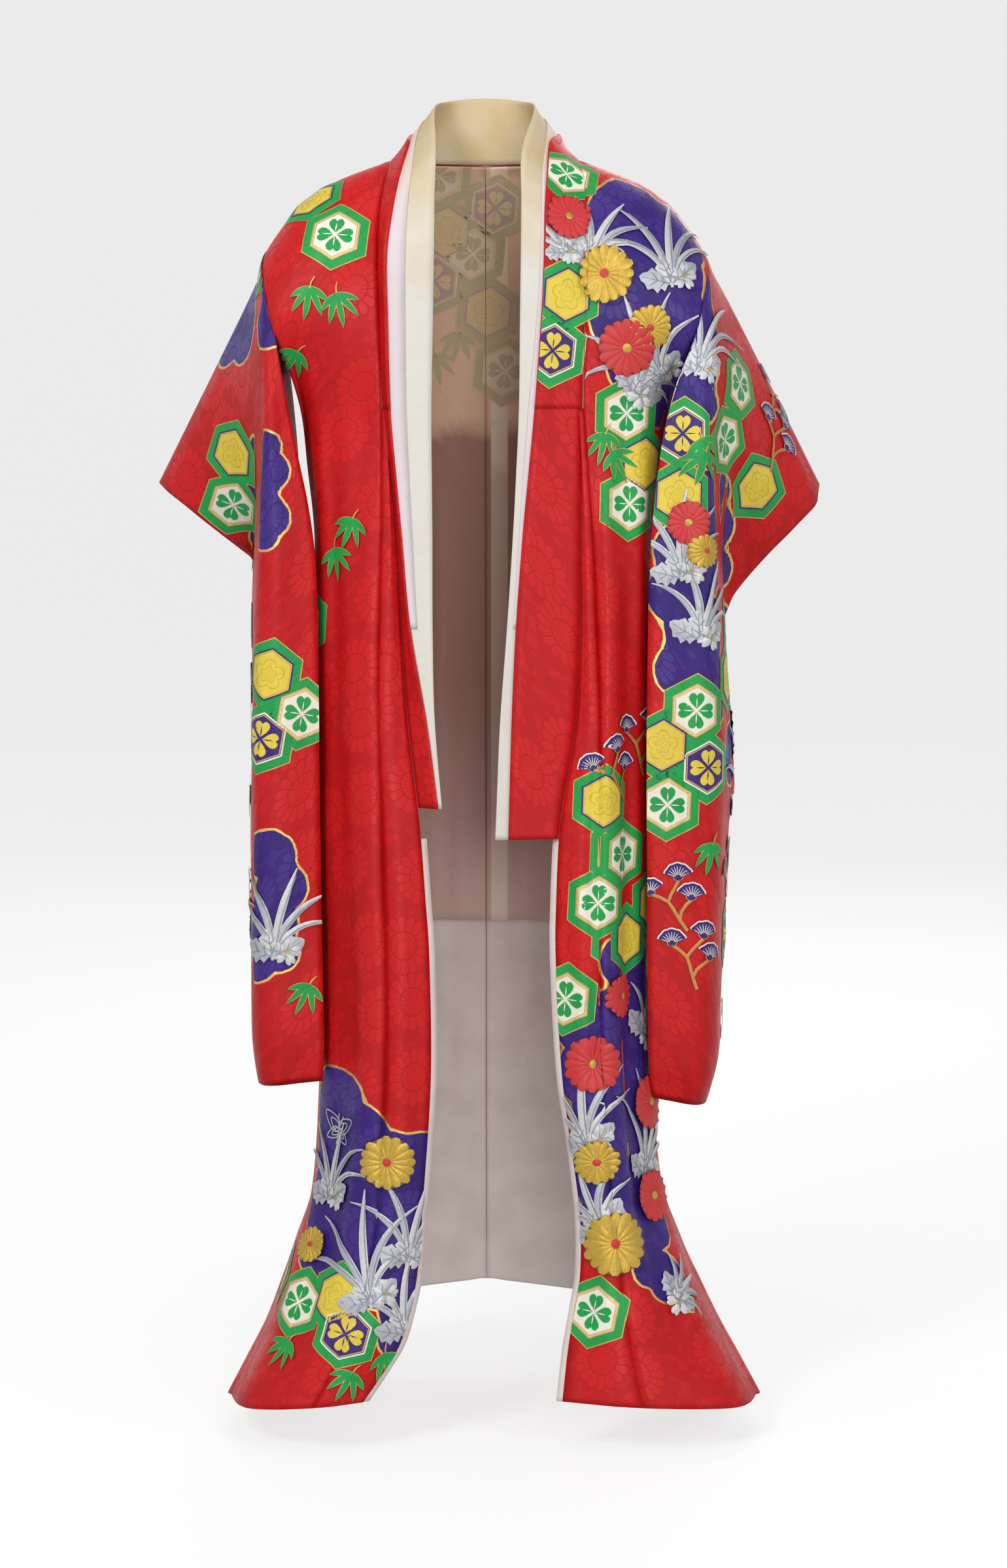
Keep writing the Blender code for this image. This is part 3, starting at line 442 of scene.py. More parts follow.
# Bamboo leaves: view, middle and turn of a spray
SPRAY_NAMES = ("view", "x", "z", "turn")
BODY_BAMBOO = by_view(
    front=(
        (-207, -157, 10), (-176, -165, -14), (-222, -232, 30), (-157, -431, 20),
        (-178, -467, -12), (-164, -1480, 30), (-124, -1456, -10), (143, -330, 12),
        (152, -352, -30), (-240, -1440, 40),
    ),
    back=(
        (-100, -330, 14), (-66, -352, -18), (120, -330, -10), (60, -560, 16), (92, -590, -14),
        (-120, -800, 12), (-90, -826, -20), (150, -760, 10), (-60, -1180, 16),
    ),
)
SLEEVE_BAMBOO = by_view(
    front=(
        (-214, -996, 24), (262, -352, 10), (274, -823, 12), (258, -336, -24),
    ),
    left=(
        (80, -1010, 20), (-20, -1030, -14),
    ),
    right=(
        (-40, -460, 14), (-40, -760, 10), (60, -1010, -14), (96, -770, 16),
    ),
)

# Pine boughs: view, middle and turn
BODY_PINE = by_view(
    front=(
        (184, -690, 10), (152, -728, -14),
    ),
    back=(
        (-40, -440, 10), (-76, -470, -16), (40, -740, 16), (70, -776, -12), (-150, -620, 10),
        (-118, -650, -16),
    ),
)
SLEEVE_PINE = by_view(
    front=(
        (346, -325, 20), (341, -281, 10), (222, -882, -8), (248, -950, 8),
    ),
    left=(
        (30, -1090, 10), (-40, -860, -16),
    ),
    right=(
        (-60, -640, 12),
    ),
    back=(
        (-320, -380, 20), (340, -390, -20),
    ),
)

# Embroidered chrysanthemums: view, middle, size and kind, and the threads of a
# kind's petals and heart
FLOWER_NAMES = ("view", "x", "z", "size", "kind")
FLOWER_THREADS = {"red": ("red_thread", "gold_thread"), "gold": ("gold_thread", "red_thread")}
BODY_FLOWERS = by_view(
    front=(
        (98, -76, 28, "red"), (168, -228, 34, "red"), (142, -142, 34, "gold"),
        (196, -204, 26, "gold"), (-119, -1216, 32, "gold"), (-210, -1320, 22, "gold"),
        (130, -1094, 34, "red"), (162, -1010, 26, "red"), (201, -1258, 32, "red"),
        (158, -1318, 38, "gold"), (136, -1216, 26, "gold"), (196, -1140, 34, "red"),
    ),
    back=(
        (-170, -150, 34, "gold"), (-186, -222, 30, "red"), (130, -1100, 38, "red"),
        (84, -1168, 32, "gold"), (160, -1196, 34, "gold"), (110, -1262, 34, "red"),
        (-140, -1256, 36, "gold"), (-176, -1316, 32, "red"), (-100, -1310, 26, "gold"),
    ),
)
SLEEVE_FLOWERS = by_view(
    front=(
        (244, -436, 26, "red"), (262, -470, 20, "gold"),
    ),
    left=(
        (20, -700, 36, "gold"), (56, -752, 30, "red"),
    ),
    right=(
        (10, -880, 36, "red"), (56, -916, 30, "gold"),
    ),
)

# Tufts of silver grass and leaves: view, foot, turn and height
TUFT_NAMES = ("view", "x", "z", "turn", "height")
BODY_TUFTS = by_view(
    front=(
        (122, -132, 16, 92), (222, -158, -10, 120), (212, -270, -30, 120), (172, -284, 44, 74),
        (96, -122, -20, 56), (-190, -1268, 12, 104), (-140, -1400, -14, 140),
        (-98, -1346, 8, 118), (-100, -1436, -8, 96), (186, -1062, 34, 84), (126, -1204, -14, 120),
        (190, -1236, 14, 140), (148, -1306, -34, 90), (226, -1388, 54, 64),
    ),
    back=(
        (-186, -134, 12, 96), (-140, -262, -12, 120), (164, -1112, 16, 120), (100, -1256, 8, 140),
        (150, -1306, 14, 120), (-112, -1336, -12, 110), (-186, -1300, 16, 120),
    ),
)
SLEEVE_TUFTS = by_view(
    front=(
        (250, -262, 14, 116), (236, -506, -8, 110), (256, -580, 12, 104), (-258, -966, 4, 116),
    ),
    left=(
        (12, -796, -10, 140), (60, -806, 16, 100),
    ),
    right=(
        (-20, -944, -14, 120), (50, -962, 12, 130),
    ),
)

# Butterflies: view, middle, turn
BODY_BUTTERFLIES = by_view(
    front=(
        (-176, -1176, 12),
    ),
    back=(
        (170, -1030, -14), (-190, -1200, 16),
    ),
)

# Painted light through the rose lining: the outside's pattern as it shows where light comes through
LIT_THROUGH_HEXAGONS = by_view(
    inside=(
        (-54, -26, 6, "white"), (-46, -92, 6, "yellow"), (12, -64, 6, "purple"),
        (-14, -118, 6, "white"), (4, -186, 6, "yellow"), (24, -256, 6, "white"),
        (-60, -150, 6, "purple"),
    ),
)
LIT_THROUGH_BAMBOO = by_view(
    inside=(
        (-30, -210, 10), (-60, -236, -14),
    ),
)


def limited(value):
    """The value, kept between 0 and 1."""
    return min(max(value, 0.0), 1.0)


def spline(points, t):
    """Point on a smooth curve through the points, t from 0 to 1."""
    last = len(points) - 1
    place = limited(t) * last
    i = min(int(place), last - 1)
    f = place - i
    p1, p2 = points[i], points[i + 1]
    p0 = points[i - 1] if i > 0 else 2 * p1 - p2
    p3 = points[i + 2] if i + 2 <= last else 2 * p2 - p1
    return 0.5 * (2 * p1 + (p2 - p0) * f + (2 * p0 - 5 * p1 + 4 * p2 - p3) * f ** 2
                  + (3 * p1 - p0 - 3 * p2 + p3) * f ** 3)


def read_table(rows, z):
    """Values of a section table at height z, smooth between its rows."""
    heights = [row[0] for row in rows]
    i = 0
    while i < len(rows) - 2 and z < heights[i + 1]:
        i += 1
    share = (heights[i] - z) / (heights[i] - heights[i + 1])
    place = (i + limited(share)) / (len(rows) - 1)
    return [spline([row[k] for row in rows], place) for k in range(1, len(rows[0]))]


def section_place(names, rows, z):
    """Named values of a section at height z."""
    return dict(zip(names[1:], read_table(rows, z)))


def hem_shift(place, z):
    """How far a place of the hem is raised, fading out above it."""
    if z > HEM_LIFT_START:
        return 0.0
    return HEM_DROP[place] * ((HEM_LIFT_START - z) / (HEM_LIFT_START - HEM)) ** 2


def fold_depth(folds, share, z):
    """Sum of the soft folds at a share of the width and a height."""
    total = 0.0
    for row in folds:
        fold = dict(zip(FOLD_NAMES, row))
        run = limited((fold["top"] - z) / (fold["top"] - fold["foot"]))
        middle = fold["at_top"] + (fold["at_foot"] - fold["at_top"]) * run
        distance = (share - middle) / fold["half"]
        if abs(distance) < FOLD_REACH:
            rise = limited((fold["top"] - z) / FOLD_FADE)
            fall = limited((z - fold["foot"]) / FOLD_FADE)
            total += fold["depth"] * rise * fall * math.exp(-FOLD_ROUNDNESS * distance ** 2)
    return total


def front_section(side, z):
    """Front panel and overlap in plan: side seam, corner, overlap seam, edge."""
    row = section_place(BODY_NAMES, BODY_SECTIONS[side], z)
    slit = row["slit"] if z > SLIT_FOOT else 0.0
    return [Vector((row["side_out"], row["side_y"] - slit, z + hem_shift("side", z))),
            Vector((row["corner_out"], row["corner_y"], z + hem_shift("corner", z))),
            Vector((row["seam_out"], row["seam_y"], z + hem_shift("seam", z))),
            Vector((row["edge_out"], row["edge_y"], z + hem_shift("edge", z)))]


def back_section(side, z):
    """Back panel in plan: centre, heel, side seam."""
    row = section_place(BODY_NAMES, BODY_SECTIONS[side], z)
    back = section_place(BACK_NAMES, BACK_SECTIONS, z)
    slit = row["slit"] if z > SLIT_FOOT else 0.0
    centre = Vector((0, back["centre_y"], z + hem_shift("centre", z)))
    heel = Vector((back["heel_out"], back["heel_y"], z + hem_shift("heel", z)))
    return [centre, centre.lerp(heel, 0.5) + Vector(BACK_SWELL), heel,
            Vector((row["side_out"], row["side_y"] + slit, z + hem_shift("side", z)))]


def moved_by_folds(section, share_of, folds, share, z):
    """Point of a section with its fold pushed out across the cloth."""
    here = spline(section, share_of(share))
    ahead = spline(section, share_of(min(share + 0.01, 1.0)))
    behind = spline(section, share_of(max(share - 0.01, 0.0)))
    along = ahead - behind
    across = Vector((-along.y, along.x, 0)).normalized()
    return here + across * fold_depth(folds, share, z)


def front_panel_share(share):
    """Share of the front section at a share of the panel from the overlap seam."""
    return (1 - share) * 2 / 3


def back_panel_share(share):
    """Share of the back section: the panel takes all of it."""
    return share


def lower_front_point(side, share, z):
    """Front panel below the chest: share 0 at the overlap seam, 1 at the side."""
    return moved_by_folds(front_section(side, z), front_panel_share, FRONT_FOLDS[side], share, z)


def lower_overlap_point(side, share, z):
    """Overlap panel: share 0 at the front edge, 1 at the overlap seam."""
    section = front_section(side, z)
    shift = lower_front_point(side, 0.0, z) - section[2]
    return spline(section, 1 - share / 3) + shift * share


def lower_back_point(side, share, z):
    """Back panel below the chest: share 0 at the centre, 1 at the side seam."""
    return moved_by_folds(back_section(side, z), back_panel_share, BACK_FOLDS, share, z)


def shoulder_point(share):
    """Point of the shoulder line at a share of its length."""
    for a, b in zip(SHOULDER_LINE, SHOULDER_LINE[1:]):
        if share <= b[0] + 1e-9:
            f = (share - a[0]) / (b[0] - a[0])
            return Vector(a[1:]).lerp(Vector(b[1:]), f)
    return Vector(SHOULDER_LINE[-1][1:])


def upper_point(neck, seam, swell, share, row):
    """Point of the yoke between the neck edge and the sleeve seam."""
    chord = Vector(neck[row]).lerp(Vector(seam[row]), share)
    fade = 1 - row / len(neck)
    lift = shoulder_point(share) - shoulder_point(0).lerp(shoulder_point(1), share)
    return chord + lift * fade + Vector((0, swell * hump(share) * hump(fade), 0))


def hump(share):
    """A rise that is 1 in the middle and 0 at both ends."""
    return 4 * share * (1 - share)


def lower_heights():
    """Heights of the rows from the chest to the hem."""
    heights = []
    for (top, rows), (foot, _) in zip(ROW_HEIGHTS, ROW_HEIGHTS[1:]):
        heights += [top + (foot - top) * k / rows for k in range(rows)]
    return heights + [ROW_HEIGHTS[-1][0]]


def neck_cut_point(share, row):
    """Back of the neck, between the centre line and the shoulder's inner end."""
    start, end = Vector(BACK_CENTRE[row]), Vector(BACK_NECK[row])
    bow = Vector(NECK_SWELL) * hump(share) * (1 - row / len(BACK_CENTRE)) ** 2
    return start.lerp(end, share) + bow


def sleeve_line(table, share):
    """Points down a sleeve face at a share of its width, one a table row."""
    line = []
    for row in table:
        places = dict(zip(SLEEVE_NAMES, row))
        inner, fold, outer = (Vector(places[name]) for name in SLEEVE_NAMES)
        before, after = inner * 2 - fold, outer * 2 - fold
        if share <= FOLD_SHARE:
            place = 1 + share / FOLD_SHARE
        else:
            place = 2 + (share - FOLD_SHARE) / (1 - FOLD_SHARE)
        line.append(spline([before, inner, fold, outer, after], place / 4))
    return line


def sleeve_places():
    """Row places down a sleeve, in table rows."""
    places = [0.0]
    for i, steps in enumerate(SLEEVE_STEPS):
        places += [i + (k + 1) / steps for k in range(steps)]
    return places


def collar_stations():
    """Stations of the collars from the right lower end to the left lower end:
    the side, the height and the places of the seam and the free edges."""
    right = [("right", *station) for station in front_stations("right")]
    left = [("left", *station) for station in front_stations("left")]
    back = []
    for i, values in enumerate(COLLAR_BACK):
        row = dict(zip(COLLAR_BACK_NAMES, values))
        red = Vector((row["red_out"], row["red_y"], row["red_z"]))
        cream = Vector((row["cream_out"], row["cream_y"], row["cream_z"]))
        seam = neck_cut_point(i / NECK_COLUMNS, 0)
        back.append((0, seam, red, cream, row["accent_out"]))
    right_back = [("right", *station) for station in back[:0:-1]]
    left_back = [("left", *station) for station in back]
    return right[::-1] + right_back + left_back + left


def front_stations(side):
    """Collar stations from the shoulder down to the collar's end."""
    seams = [Vector(point) for point in NECK_FRONT[side]]
    for z in lower_heights():
        if z >= COLLAR_END[side]:
            seams.append(front_section(side, z)[3])
    stations = []
    for seam in seams:
        row = section_place(COLLAR_NAMES, COLLAR_FRONT[side], seam.z)
        red = Vector((row["red_out"], row["red_y"], seam.z + row["red_rise"]))
        cream = Vector((row["cream_out"], row["cream_y"], seam.z + row["cream_rise"]))
        stations.append((seam.z, seam, red, cream, row["accent_out"]))
    return stations


def accent_point(red, cream, out):
    """Free edge of the accent collar, between the red and the cream edges."""
    if red.x - cream.x < 1:
        return red.lerp(cream, 0.5)
    return red.lerp(cream, (red.x - out) / (red.x - cream.x))


def as_grid(rows, side):
    """Rows of points of one side of the garment as an array, in mm."""
    grid = np.array([[tuple(point) for point in row] for row in rows])
    return grid * np.array((SIDES[side], 1, 1))


def front_grid(side):
    """Front panel from the shoulder to the hem, overlap seam to side seam."""
    shares = [j / FRONT_COLUMNS for j in range(FRONT_COLUMNS + 1)]
    rows = [[upper_point(NECK_FRONT[side], SLEEVE_SEAM_FRONT, -YOKE_SWELL, share, row)
             for share in shares] for row in range(len(NECK_FRONT[side]))]
    rows += [[lower_front_point(side, share, z) for share in shares] for z in lower_heights()]
    return as_grid(rows, side)


def back_grid(side):
    """Back panel from the neck to the hem, centre to side seam."""
    across = NECK_COLUMNS + FRONT_COLUMNS
    rows = []
    for row in range(len(BACK_CENTRE)):
        line = [neck_cut_point(j / NECK_COLUMNS, row) for j in range(NECK_COLUMNS)]
        line += [upper_point(BACK_NECK, SLEEVE_SEAM_BACK, YOKE_SWELL, j / FRONT_COLUMNS, row)
                 for j in range(FRONT_COLUMNS + 1)]
        rows.append(line)
    rows += [[lower_back_point(side, j / across, z) for j in range(across + 1)]
             for z in lower_heights()]
    return as_grid(rows, side)


def overlap_grid(side):
    """Overlap panel from its point to the hem, front edge to overlap seam."""
    return as_grid([[lower_overlap_point(side, j / OVERLAP_COLUMNS, z)
                     for j in range(OVERLAP_COLUMNS + 1)]
                    for z in lower_heights()], side)


def sleeve_grid(side, table):
    """One face of a sleeve from the shoulder to the foot, body to outer edge."""
    lines = [sleeve_line(table, share) for share in SLEEVE_SHARES]
    rows = [[spline(line, place / (len(table) - 1)) for line in lines]
            for place in sleeve_places()]
    return as_grid(rows, side)


def collar_grid():
    """All the collars, from one lower end round the neck to the other."""
    rows = []
    for side, height, seam, red, cream, accent_out in collar_stations():
        turn = (red - seam).normalized()
        root = seam + turn * COLLAR_SEAM_GAP
        if height < 0:
            root.x -= COLLAR_CORNER * abs(turn.y)
        line = [root] + [root.lerp(red, share) for share in COLLAR_CREASES]
        line += [red, accent_point(red, cream, accent_out), cream]
        rows.append([(point.x * SIDES[side], point.y, point.z) for point in line])
    return np.array(rows)


def ringed(grid, above=None, below=None, before=None, after=None):
    """A grid with a ring of points round it: its neighbours' where they are
    known, and else its own run on straight."""
    ring = np.zeros((grid.shape[0] + 2, grid.shape[1] + 2, 3))
    ring[1:-1, 1:-1] = grid
    ring[0, 1:-1] = known(above, 2 * grid[0] - grid[1])
    ring[-1, 1:-1] = known(below, 2 * grid[-1] - grid[-2])
    ring[1:-1, 0] = known(before, 2 * grid[:, 0] - grid[:, 1])
    ring[1:-1, -1] = known(after, 2 * grid[:, -1] - grid[:, -2])
    for i, a in ((0, 1), (-1, -2)):
        ring[i, 0] = ring[i, 1] + ring[a, 0] - ring[a, 1]
        ring[i, -1] = ring[i, -2] + ring[a, -1] - ring[a, -2]
    return ring


def known(given, fallback):
    """The given points, or the fallback where they are missing."""
    if given is None:
        return fallback
    return np.where(np.isnan(given), fallback, given)


def smoothed(ring, cuts):
    """Rows between the inner rows of a ringed grid, on smooth curves."""
    rows = []
    for i, count in enumerate(cuts):
        p0, p1, p2, p3 = ring[i:i + 4]
        for k in range(count):
            f = k / count
            rows.append(0.5 * (2 * p1 + (p2 - p0) * f + (2 * p0 - 5 * p1 + 4 * p2 - p3) * f ** 2
                               + (3 * p1 - p0 - 3 * p2 + p3) * f ** 3))
    rows.append(ring[len(cuts) + 1])
    return np.array(rows)


def cuts_for(grid, step, axis):
    """How many steps each cell of a grid is cut into along an axis."""
    lengths = np.linalg.norm(np.diff(grid, axis=axis), axis=2).mean(axis=1 - axis)
    return [max(1, round(length / step)) for length in lengths]


def front_view(points):
    """Across and up on the view plane, as the camera sees the points."""
    eye = np.array(CAMERA_PLACE) / MM
    reach = (VIEW_PLANE - eye[1]) / (points[..., 1] - eye[1])
    return np.stack([eye[0] + (points[..., 0] - eye[0]) * reach,
                     eye[2] + (points[..., 2] - eye[2]) * reach], axis=-1)


def back_view(points):
    """Across and up, seen straight from behind."""
    return points[..., (0, 2)]


def side_view(points):
    """Depth and up, seen from a side."""
    return points[..., (1, 2)]


# Each view: its coordinates, the way it looks back along, across and up
VIEWS = {
    "front": (front_view, (0, -1, 0), (1, 0, 0)),
    "inside": (front_view, (0, -1, 0), (1, 0, 0)),
    "back": (back_view, (0, 1, 0), (1, 0, 0)),
    "left": (side_view, (1, 0, 0), (0, 1, 0)),
    "right": (side_view, (-1, 0, 0), (0, 1, 0)),
}
UP = np.array((0.0, 0.0, 1.0))

# Cloth looks towards a view from this share on, and wholly this much further
FACING_START = 0.08
FACING_SPAN = 0.3

# Creases: their gain, how far they wander as a share of the half width, the
# least share of the depth, how much of it swells, and the lengths in mm over
# which they wander, swell and fade at their ends
CREASE_GAIN = 1.25
CREASE_WANDER = 0.35
CREASE_SWELL = 0.25
CREASE_LEAST = 0.15
CREASE_LENGTHS = {"wander": 70, "swell": 43, "end": 60}

# Depth and reach of the groove at a seam
SEAM_GROOVE = 1.1
SEAM_REACH = 4.0

# Cloud fields: the distance taken as far away, and what turned cloth adds
FIELD_FAR = 90.0
FIELD_TURNED = 70

# Laying a motif: how much cloth has to face the view, what is added to rule a
# point out, the longest first step in grid cells, the rounds of the search and
# how many cells past its edge it may go
LAY_FACING = 0.25
RULED_OUT = 1e4
LAY_FIRST = 60
LAY_ROUNDS = 8
LAY_PAST = 40
SMALLEST = 1e-6


def unit(vectors):
    """Vectors at length 1."""
    return vectors / np.maximum(np.linalg.norm(vectors, axis=-1, keepdims=True), 1e-9)


class Face:
    """A face of cloth as a fine grid of points, in mm."""

    def __init__(self, points, outward):
        self.points = points
        self.outward = outward
        self.measure()

    def measure(self):
        """Directions, normals and the cloth's own sizes across and down."""
        self.down = np.gradient(self.points, axis=0)
        self.across = np.gradient(self.points, axis=1)
        self.normals = unit(np.cross(self.down, self.across)) * self.outward
        across = np.linalg.norm(np.diff(self.points, axis=1), axis=2)
        down = np.linalg.norm(np.diff(self.points, axis=0), axis=2)
        run = np.pad(np.cumsum(across, axis=1), ((0, 0), (1, 0)))
        fall = np.pad(np.cumsum(down, axis=0), ((1, 0), (0, 0)))
        self.cloth = np.stack([run, fall], axis=-1)

    def facing(self, view):
        """How far each point's cloth looks towards a view, 0 to 1."""
        towards = self.normals @ np.array(VIEWS[view][1], dtype=float)
        return np.clip((towards - FACING_START) / FACING_SPAN, 0, 1)

    def crease(self, creases, views):
        """Soft troughs and ridges, pushed along the way that their view looks."""
        push = np.zeros_like(self.points)
        for row in creases:
            fold = dict(zip(CREASE_NAMES, row))
            if fold["view"] not in views:
                continue
            seen = VIEWS[fold["view"]][0](self.points)
            start = np.array((fold["x0"], fold["z0"]), dtype=float)
            line = np.array((fold["x1"], fold["z1"]), dtype=float) - start
            length = np.linalg.norm(line)
            along = np.clip((seen - start) @ line / length ** 2, 0, 1)
            wander = np.sin(along * length / CREASE_LENGTHS["wander"] + start[0])
            wander = CREASE_WANDER * fold["half"] * wander
            sideways = np.array((-line[1], line[0])) / length
            nearest = start + along[..., None] * line + wander[..., None] * sideways
            away = np.linalg.norm(seen - nearest, axis=-1) / fold["half"]
            swell = np.sin(along * length / CREASE_LENGTHS["swell"] + start[1])
            swell = 1 - CREASE_SWELL + CREASE_SWELL * swell
            ends = np.minimum(along, 1 - along) * length / CREASE_LENGTHS["end"]
            depth = CREASE_GAIN * fold["depth"] * swell * np.clip(ends, CREASE_LEAST, 1)
            depth = depth * np.exp(-away ** 2) * self.facing(fold["view"])
            push += depth[..., None] * np.array(VIEWS[fold["view"]][1], dtype=float)
        self.points = self.points + push
        self.measure()

    def groove(self, first=None, last=None):
        """The cloth drawn in at a seam in its first or last column."""
        column = self.cloth[..., 0]
        depth = np.zeros(column.shape)
        for rows, away in ((first, column - column[:, :1]), (last, column[:, -1:] - column)):
            if rows is not None:
                depth[rows] -= SEAM_GROOVE * np.exp(-(away / SEAM_REACH) ** 2)[rows]
        self.points = self.points + self.normals * depth[..., None]
        self.measure()

    def part(self, rows=slice(None), columns=slice(None), depth=0.0, turned=False):
        """A stretch of the face, moved inwards, and turned to look inwards."""
        piece = Face.__new__(Face)
        piece.points = (self.points - self.normals * depth)[rows, columns]
        piece.outward = -self.outward if turned else self.outward
        piece.measure()
        piece.cloth = piece.cloth + self.cloth[rows, columns][:1, :1]
        return piece

    def field(self, lobes):
        """Distance to the edge of the cloud fields, below 0 inside."""
        nearest = np.full(self.points.shape[:2], FIELD_FAR)
        for row in lobes:
            lobe = dict(zip(LOBE_NAMES, row))
            seen = VIEWS[lobe["view"]][0](self.points)
            away = np.linalg.norm(seen - np.array((lobe["x"], lobe["z"])), axis=-1) - lobe["size"]
            away = away + (1 - self.facing(lobe["view"])) * FIELD_TURNED
            nearest = np.minimum(nearest, away)
        return nearest

    def at(self, values, i, j):
        """Values at places between the grid's, run on straight past its edges."""
        a = np.clip(np.floor(i).astype(int), 0, values.shape[0] - 2)
        b = np.clip(np.floor(j).astype(int), 0, values.shape[1] - 2)
        f, g = (i - a)[:, None], (j - b)[:, None]
        return (values[a, b] * (1 - f) * (1 - g) + values[a + 1, b] * f * (1 - g)
                + values[a, b + 1] * (1 - f) * g + values[a + 1, b + 1] * f * g)

    def place(self, view, middle, reach, shape):
        """Grid places of a flat shape laid on the cloth at a place of a view."""
        seen = VIEWS[view][0](self.points)
        away = np.linalg.norm(seen - middle, axis=-1)
        away = away + (self.facing(view) < LAY_FACING) * RULED_OUT
        if view == "back":
            away = away + (self.points[..., 1] < 0) * RULED_OUT
        a, b = np.unravel_index(np.argmin(away), away.shape)
        if away[a, b] > reach:
            return None
        normal = self.normals[a, b]
        side = np.array(VIEWS[view][2], dtype=float)
        side = unit(side - normal * side.dot(normal))
        rise = unit(UP - normal * UP.dot(normal) - side * UP.dot(side))
        steps = np.stack([self.down[a, b], self.across[a, b]], axis=1)
        seen_steps = np.stack([np.gradient(seen[..., k])[n][a, b] for n in (0, 1) for k in (0, 1)])
        seen_steps = seen_steps.reshape(2, 2).T
        start = np.linalg.lstsq(seen_steps, middle - seen[a, b], rcond=None)[0]
        start = steps @ np.clip(start, -LAY_FIRST, LAY_FIRST)
        wanted = shape[:, :2] + np.array((side.dot(start), rise.dot(start)))
        moves = wanted[:, :1] * side + wanted[:, 1:] * rise
        first = np.linalg.lstsq(steps, moves.T, rcond=None)[0].T
        run, fall = self.cloth[..., 0], self.cloth[..., 1]
        over = (self.points[:, b:b + 1] - self.points[a, b]) @ side
        over = over + (run - run[:, b:b + 1]) * unit(self.across[a, b]).dot(side)
        up = (self.points[a:a + 1] - self.points[a, b]) @ rise
        up = up + (fall - fall[a:a + 1]) * unit(self.down[a, b]).dot(rise)
        flat = np.stack([over, up], axis=-1)
        i, j = a + first[:, 0], b + first[:, 1]
        for _ in range(LAY_ROUNDS):
            p, q = self.cell(i, j)
            step_i = flat[p + 1, q] - flat[p, q]
            step_j = flat[p, q + 1] - flat[p, q]
            short = wanted - self.at(flat, i, j)
            size = step_i[:, 0] * step_j[:, 1] - step_i[:, 1] * step_j[:, 0]
            size = np.where(np.abs(size) < SMALLEST, SMALLEST, size)
            i = i + (short[:, 0] * step_j[:, 1] - short[:, 1] * step_j[:, 0]) / size
            j = j + (step_i[:, 0] * short[:, 1] - step_i[:, 1] * short[:, 0]) / size
            i = np.clip(i, -LAY_PAST, self.points.shape[0] + LAY_PAST)
            j = np.clip(j, -LAY_PAST, self.points.shape[1] + LAY_PAST)
        return i, j

    def cell(self, i, j):
        """The grid cells that places lie in, or the nearest ones."""
        return (np.clip(np.floor(i).astype(int), 0, self.points.shape[0] - 2),
                np.clip(np.floor(j).astype(int), 0, self.points.shape[1] - 2))


def missing(count):
    """A line of unknown points."""
    return np.full((count, 3), np.nan)


def side_faces(side):
    """Fine faces of one side: front, back, overlap and the two of the sleeve."""
    sign = SIDES[side]
    front, back, overlap = front_grid(side), back_grid(side), overlap_grid(side)
    rows = cuts_for(front, ROW_STEP, 0)
    columns = cuts_for(front, COLUMN_STEP, 1)
    neck = cuts_for(back[:, :NECK_COLUMNS + 1], COLUMN_STEP, 1)
    lap = cuts_for(overlap, COLUMN_STEP, 1)
    top = len(BACK_CENTRE)
    before = np.vstack([missing(top), overlap[:, -2]])
    after = back[:, -2].copy()
    after[:top] = np.nan
    front_ring = ringed(front, above=back[1, NECK_COLUMNS:], before=before, after=after)
    behind = front[:, -2].copy()
    behind[:top] = np.nan
    mirrored = back[:, 1] * np.array((-1, 1, 1))
    back_above = np.vstack([missing(NECK_COLUMNS), front[1]])
    back_ring = ringed(back, above=back_above, before=mirrored, after=behind)
    lap_ring = ringed(overlap, after=front[top:, 1])
    faces = {
        "front": Face(fine(front_ring, rows, columns), sign),
        "back": Face(fine(back_ring, rows, neck + columns), -sign),
        "overlap": Face(fine(lap_ring, rows[top:], lap), sign),
    }
    sleeve_front = sleeve_grid(side, SLEEVE_FRONT[side])
    sleeve_back = sleeve_grid(side, SLEEVE_BACK[side])
    down = cuts_for(sleeve_front, ROW_STEP, 0)
    over = cuts_for(sleeve_front, COLUMN_STEP, 1)
    faces["sleeve_front"] = Face(fine(ringed(sleeve_front, above=sleeve_back[1]), down, over), sign)
    faces["sleeve_back"] = Face(fine(ringed(sleeve_back, above=sleeve_front[1]), down, over), -sign)
    starts = {"chest": sum(rows[:top]),
              "lining_join": sum(rows[:row_at(LINING_JOIN)]),
              "collar_foot": sum(rows[:row_at(COLLAR_END["left"])]),
              "sleeve_seam": sum(down[:SLEEVE_SEAM_ROW]),
              "sleeve_lining_end": sum(down[:place_row(SLEEVE_LINING_END)]),
              "fold": sum(over[:SLEEVE_SHARES.index(FOLD_SHARE)]),
              "armhole": sum(neck + columns[:-1])}
    return faces, starts


def fine(ring, rows, columns):
    """A ringed grid cut finer both ways."""
    down = smoothed(ring, rows)
    return smoothed(down.transpose(1, 0, 2), columns).transpose(1, 0, 2)


def row_at(height):
    """Number of the body grid's row at a height below the chest."""
    return len(BACK_CENTRE) + lower_heights().index(height)


def place_row(place):
    """Number of the sleeve grid's row at a row of the sleeve's table."""
    return sleeve_places().index(place)


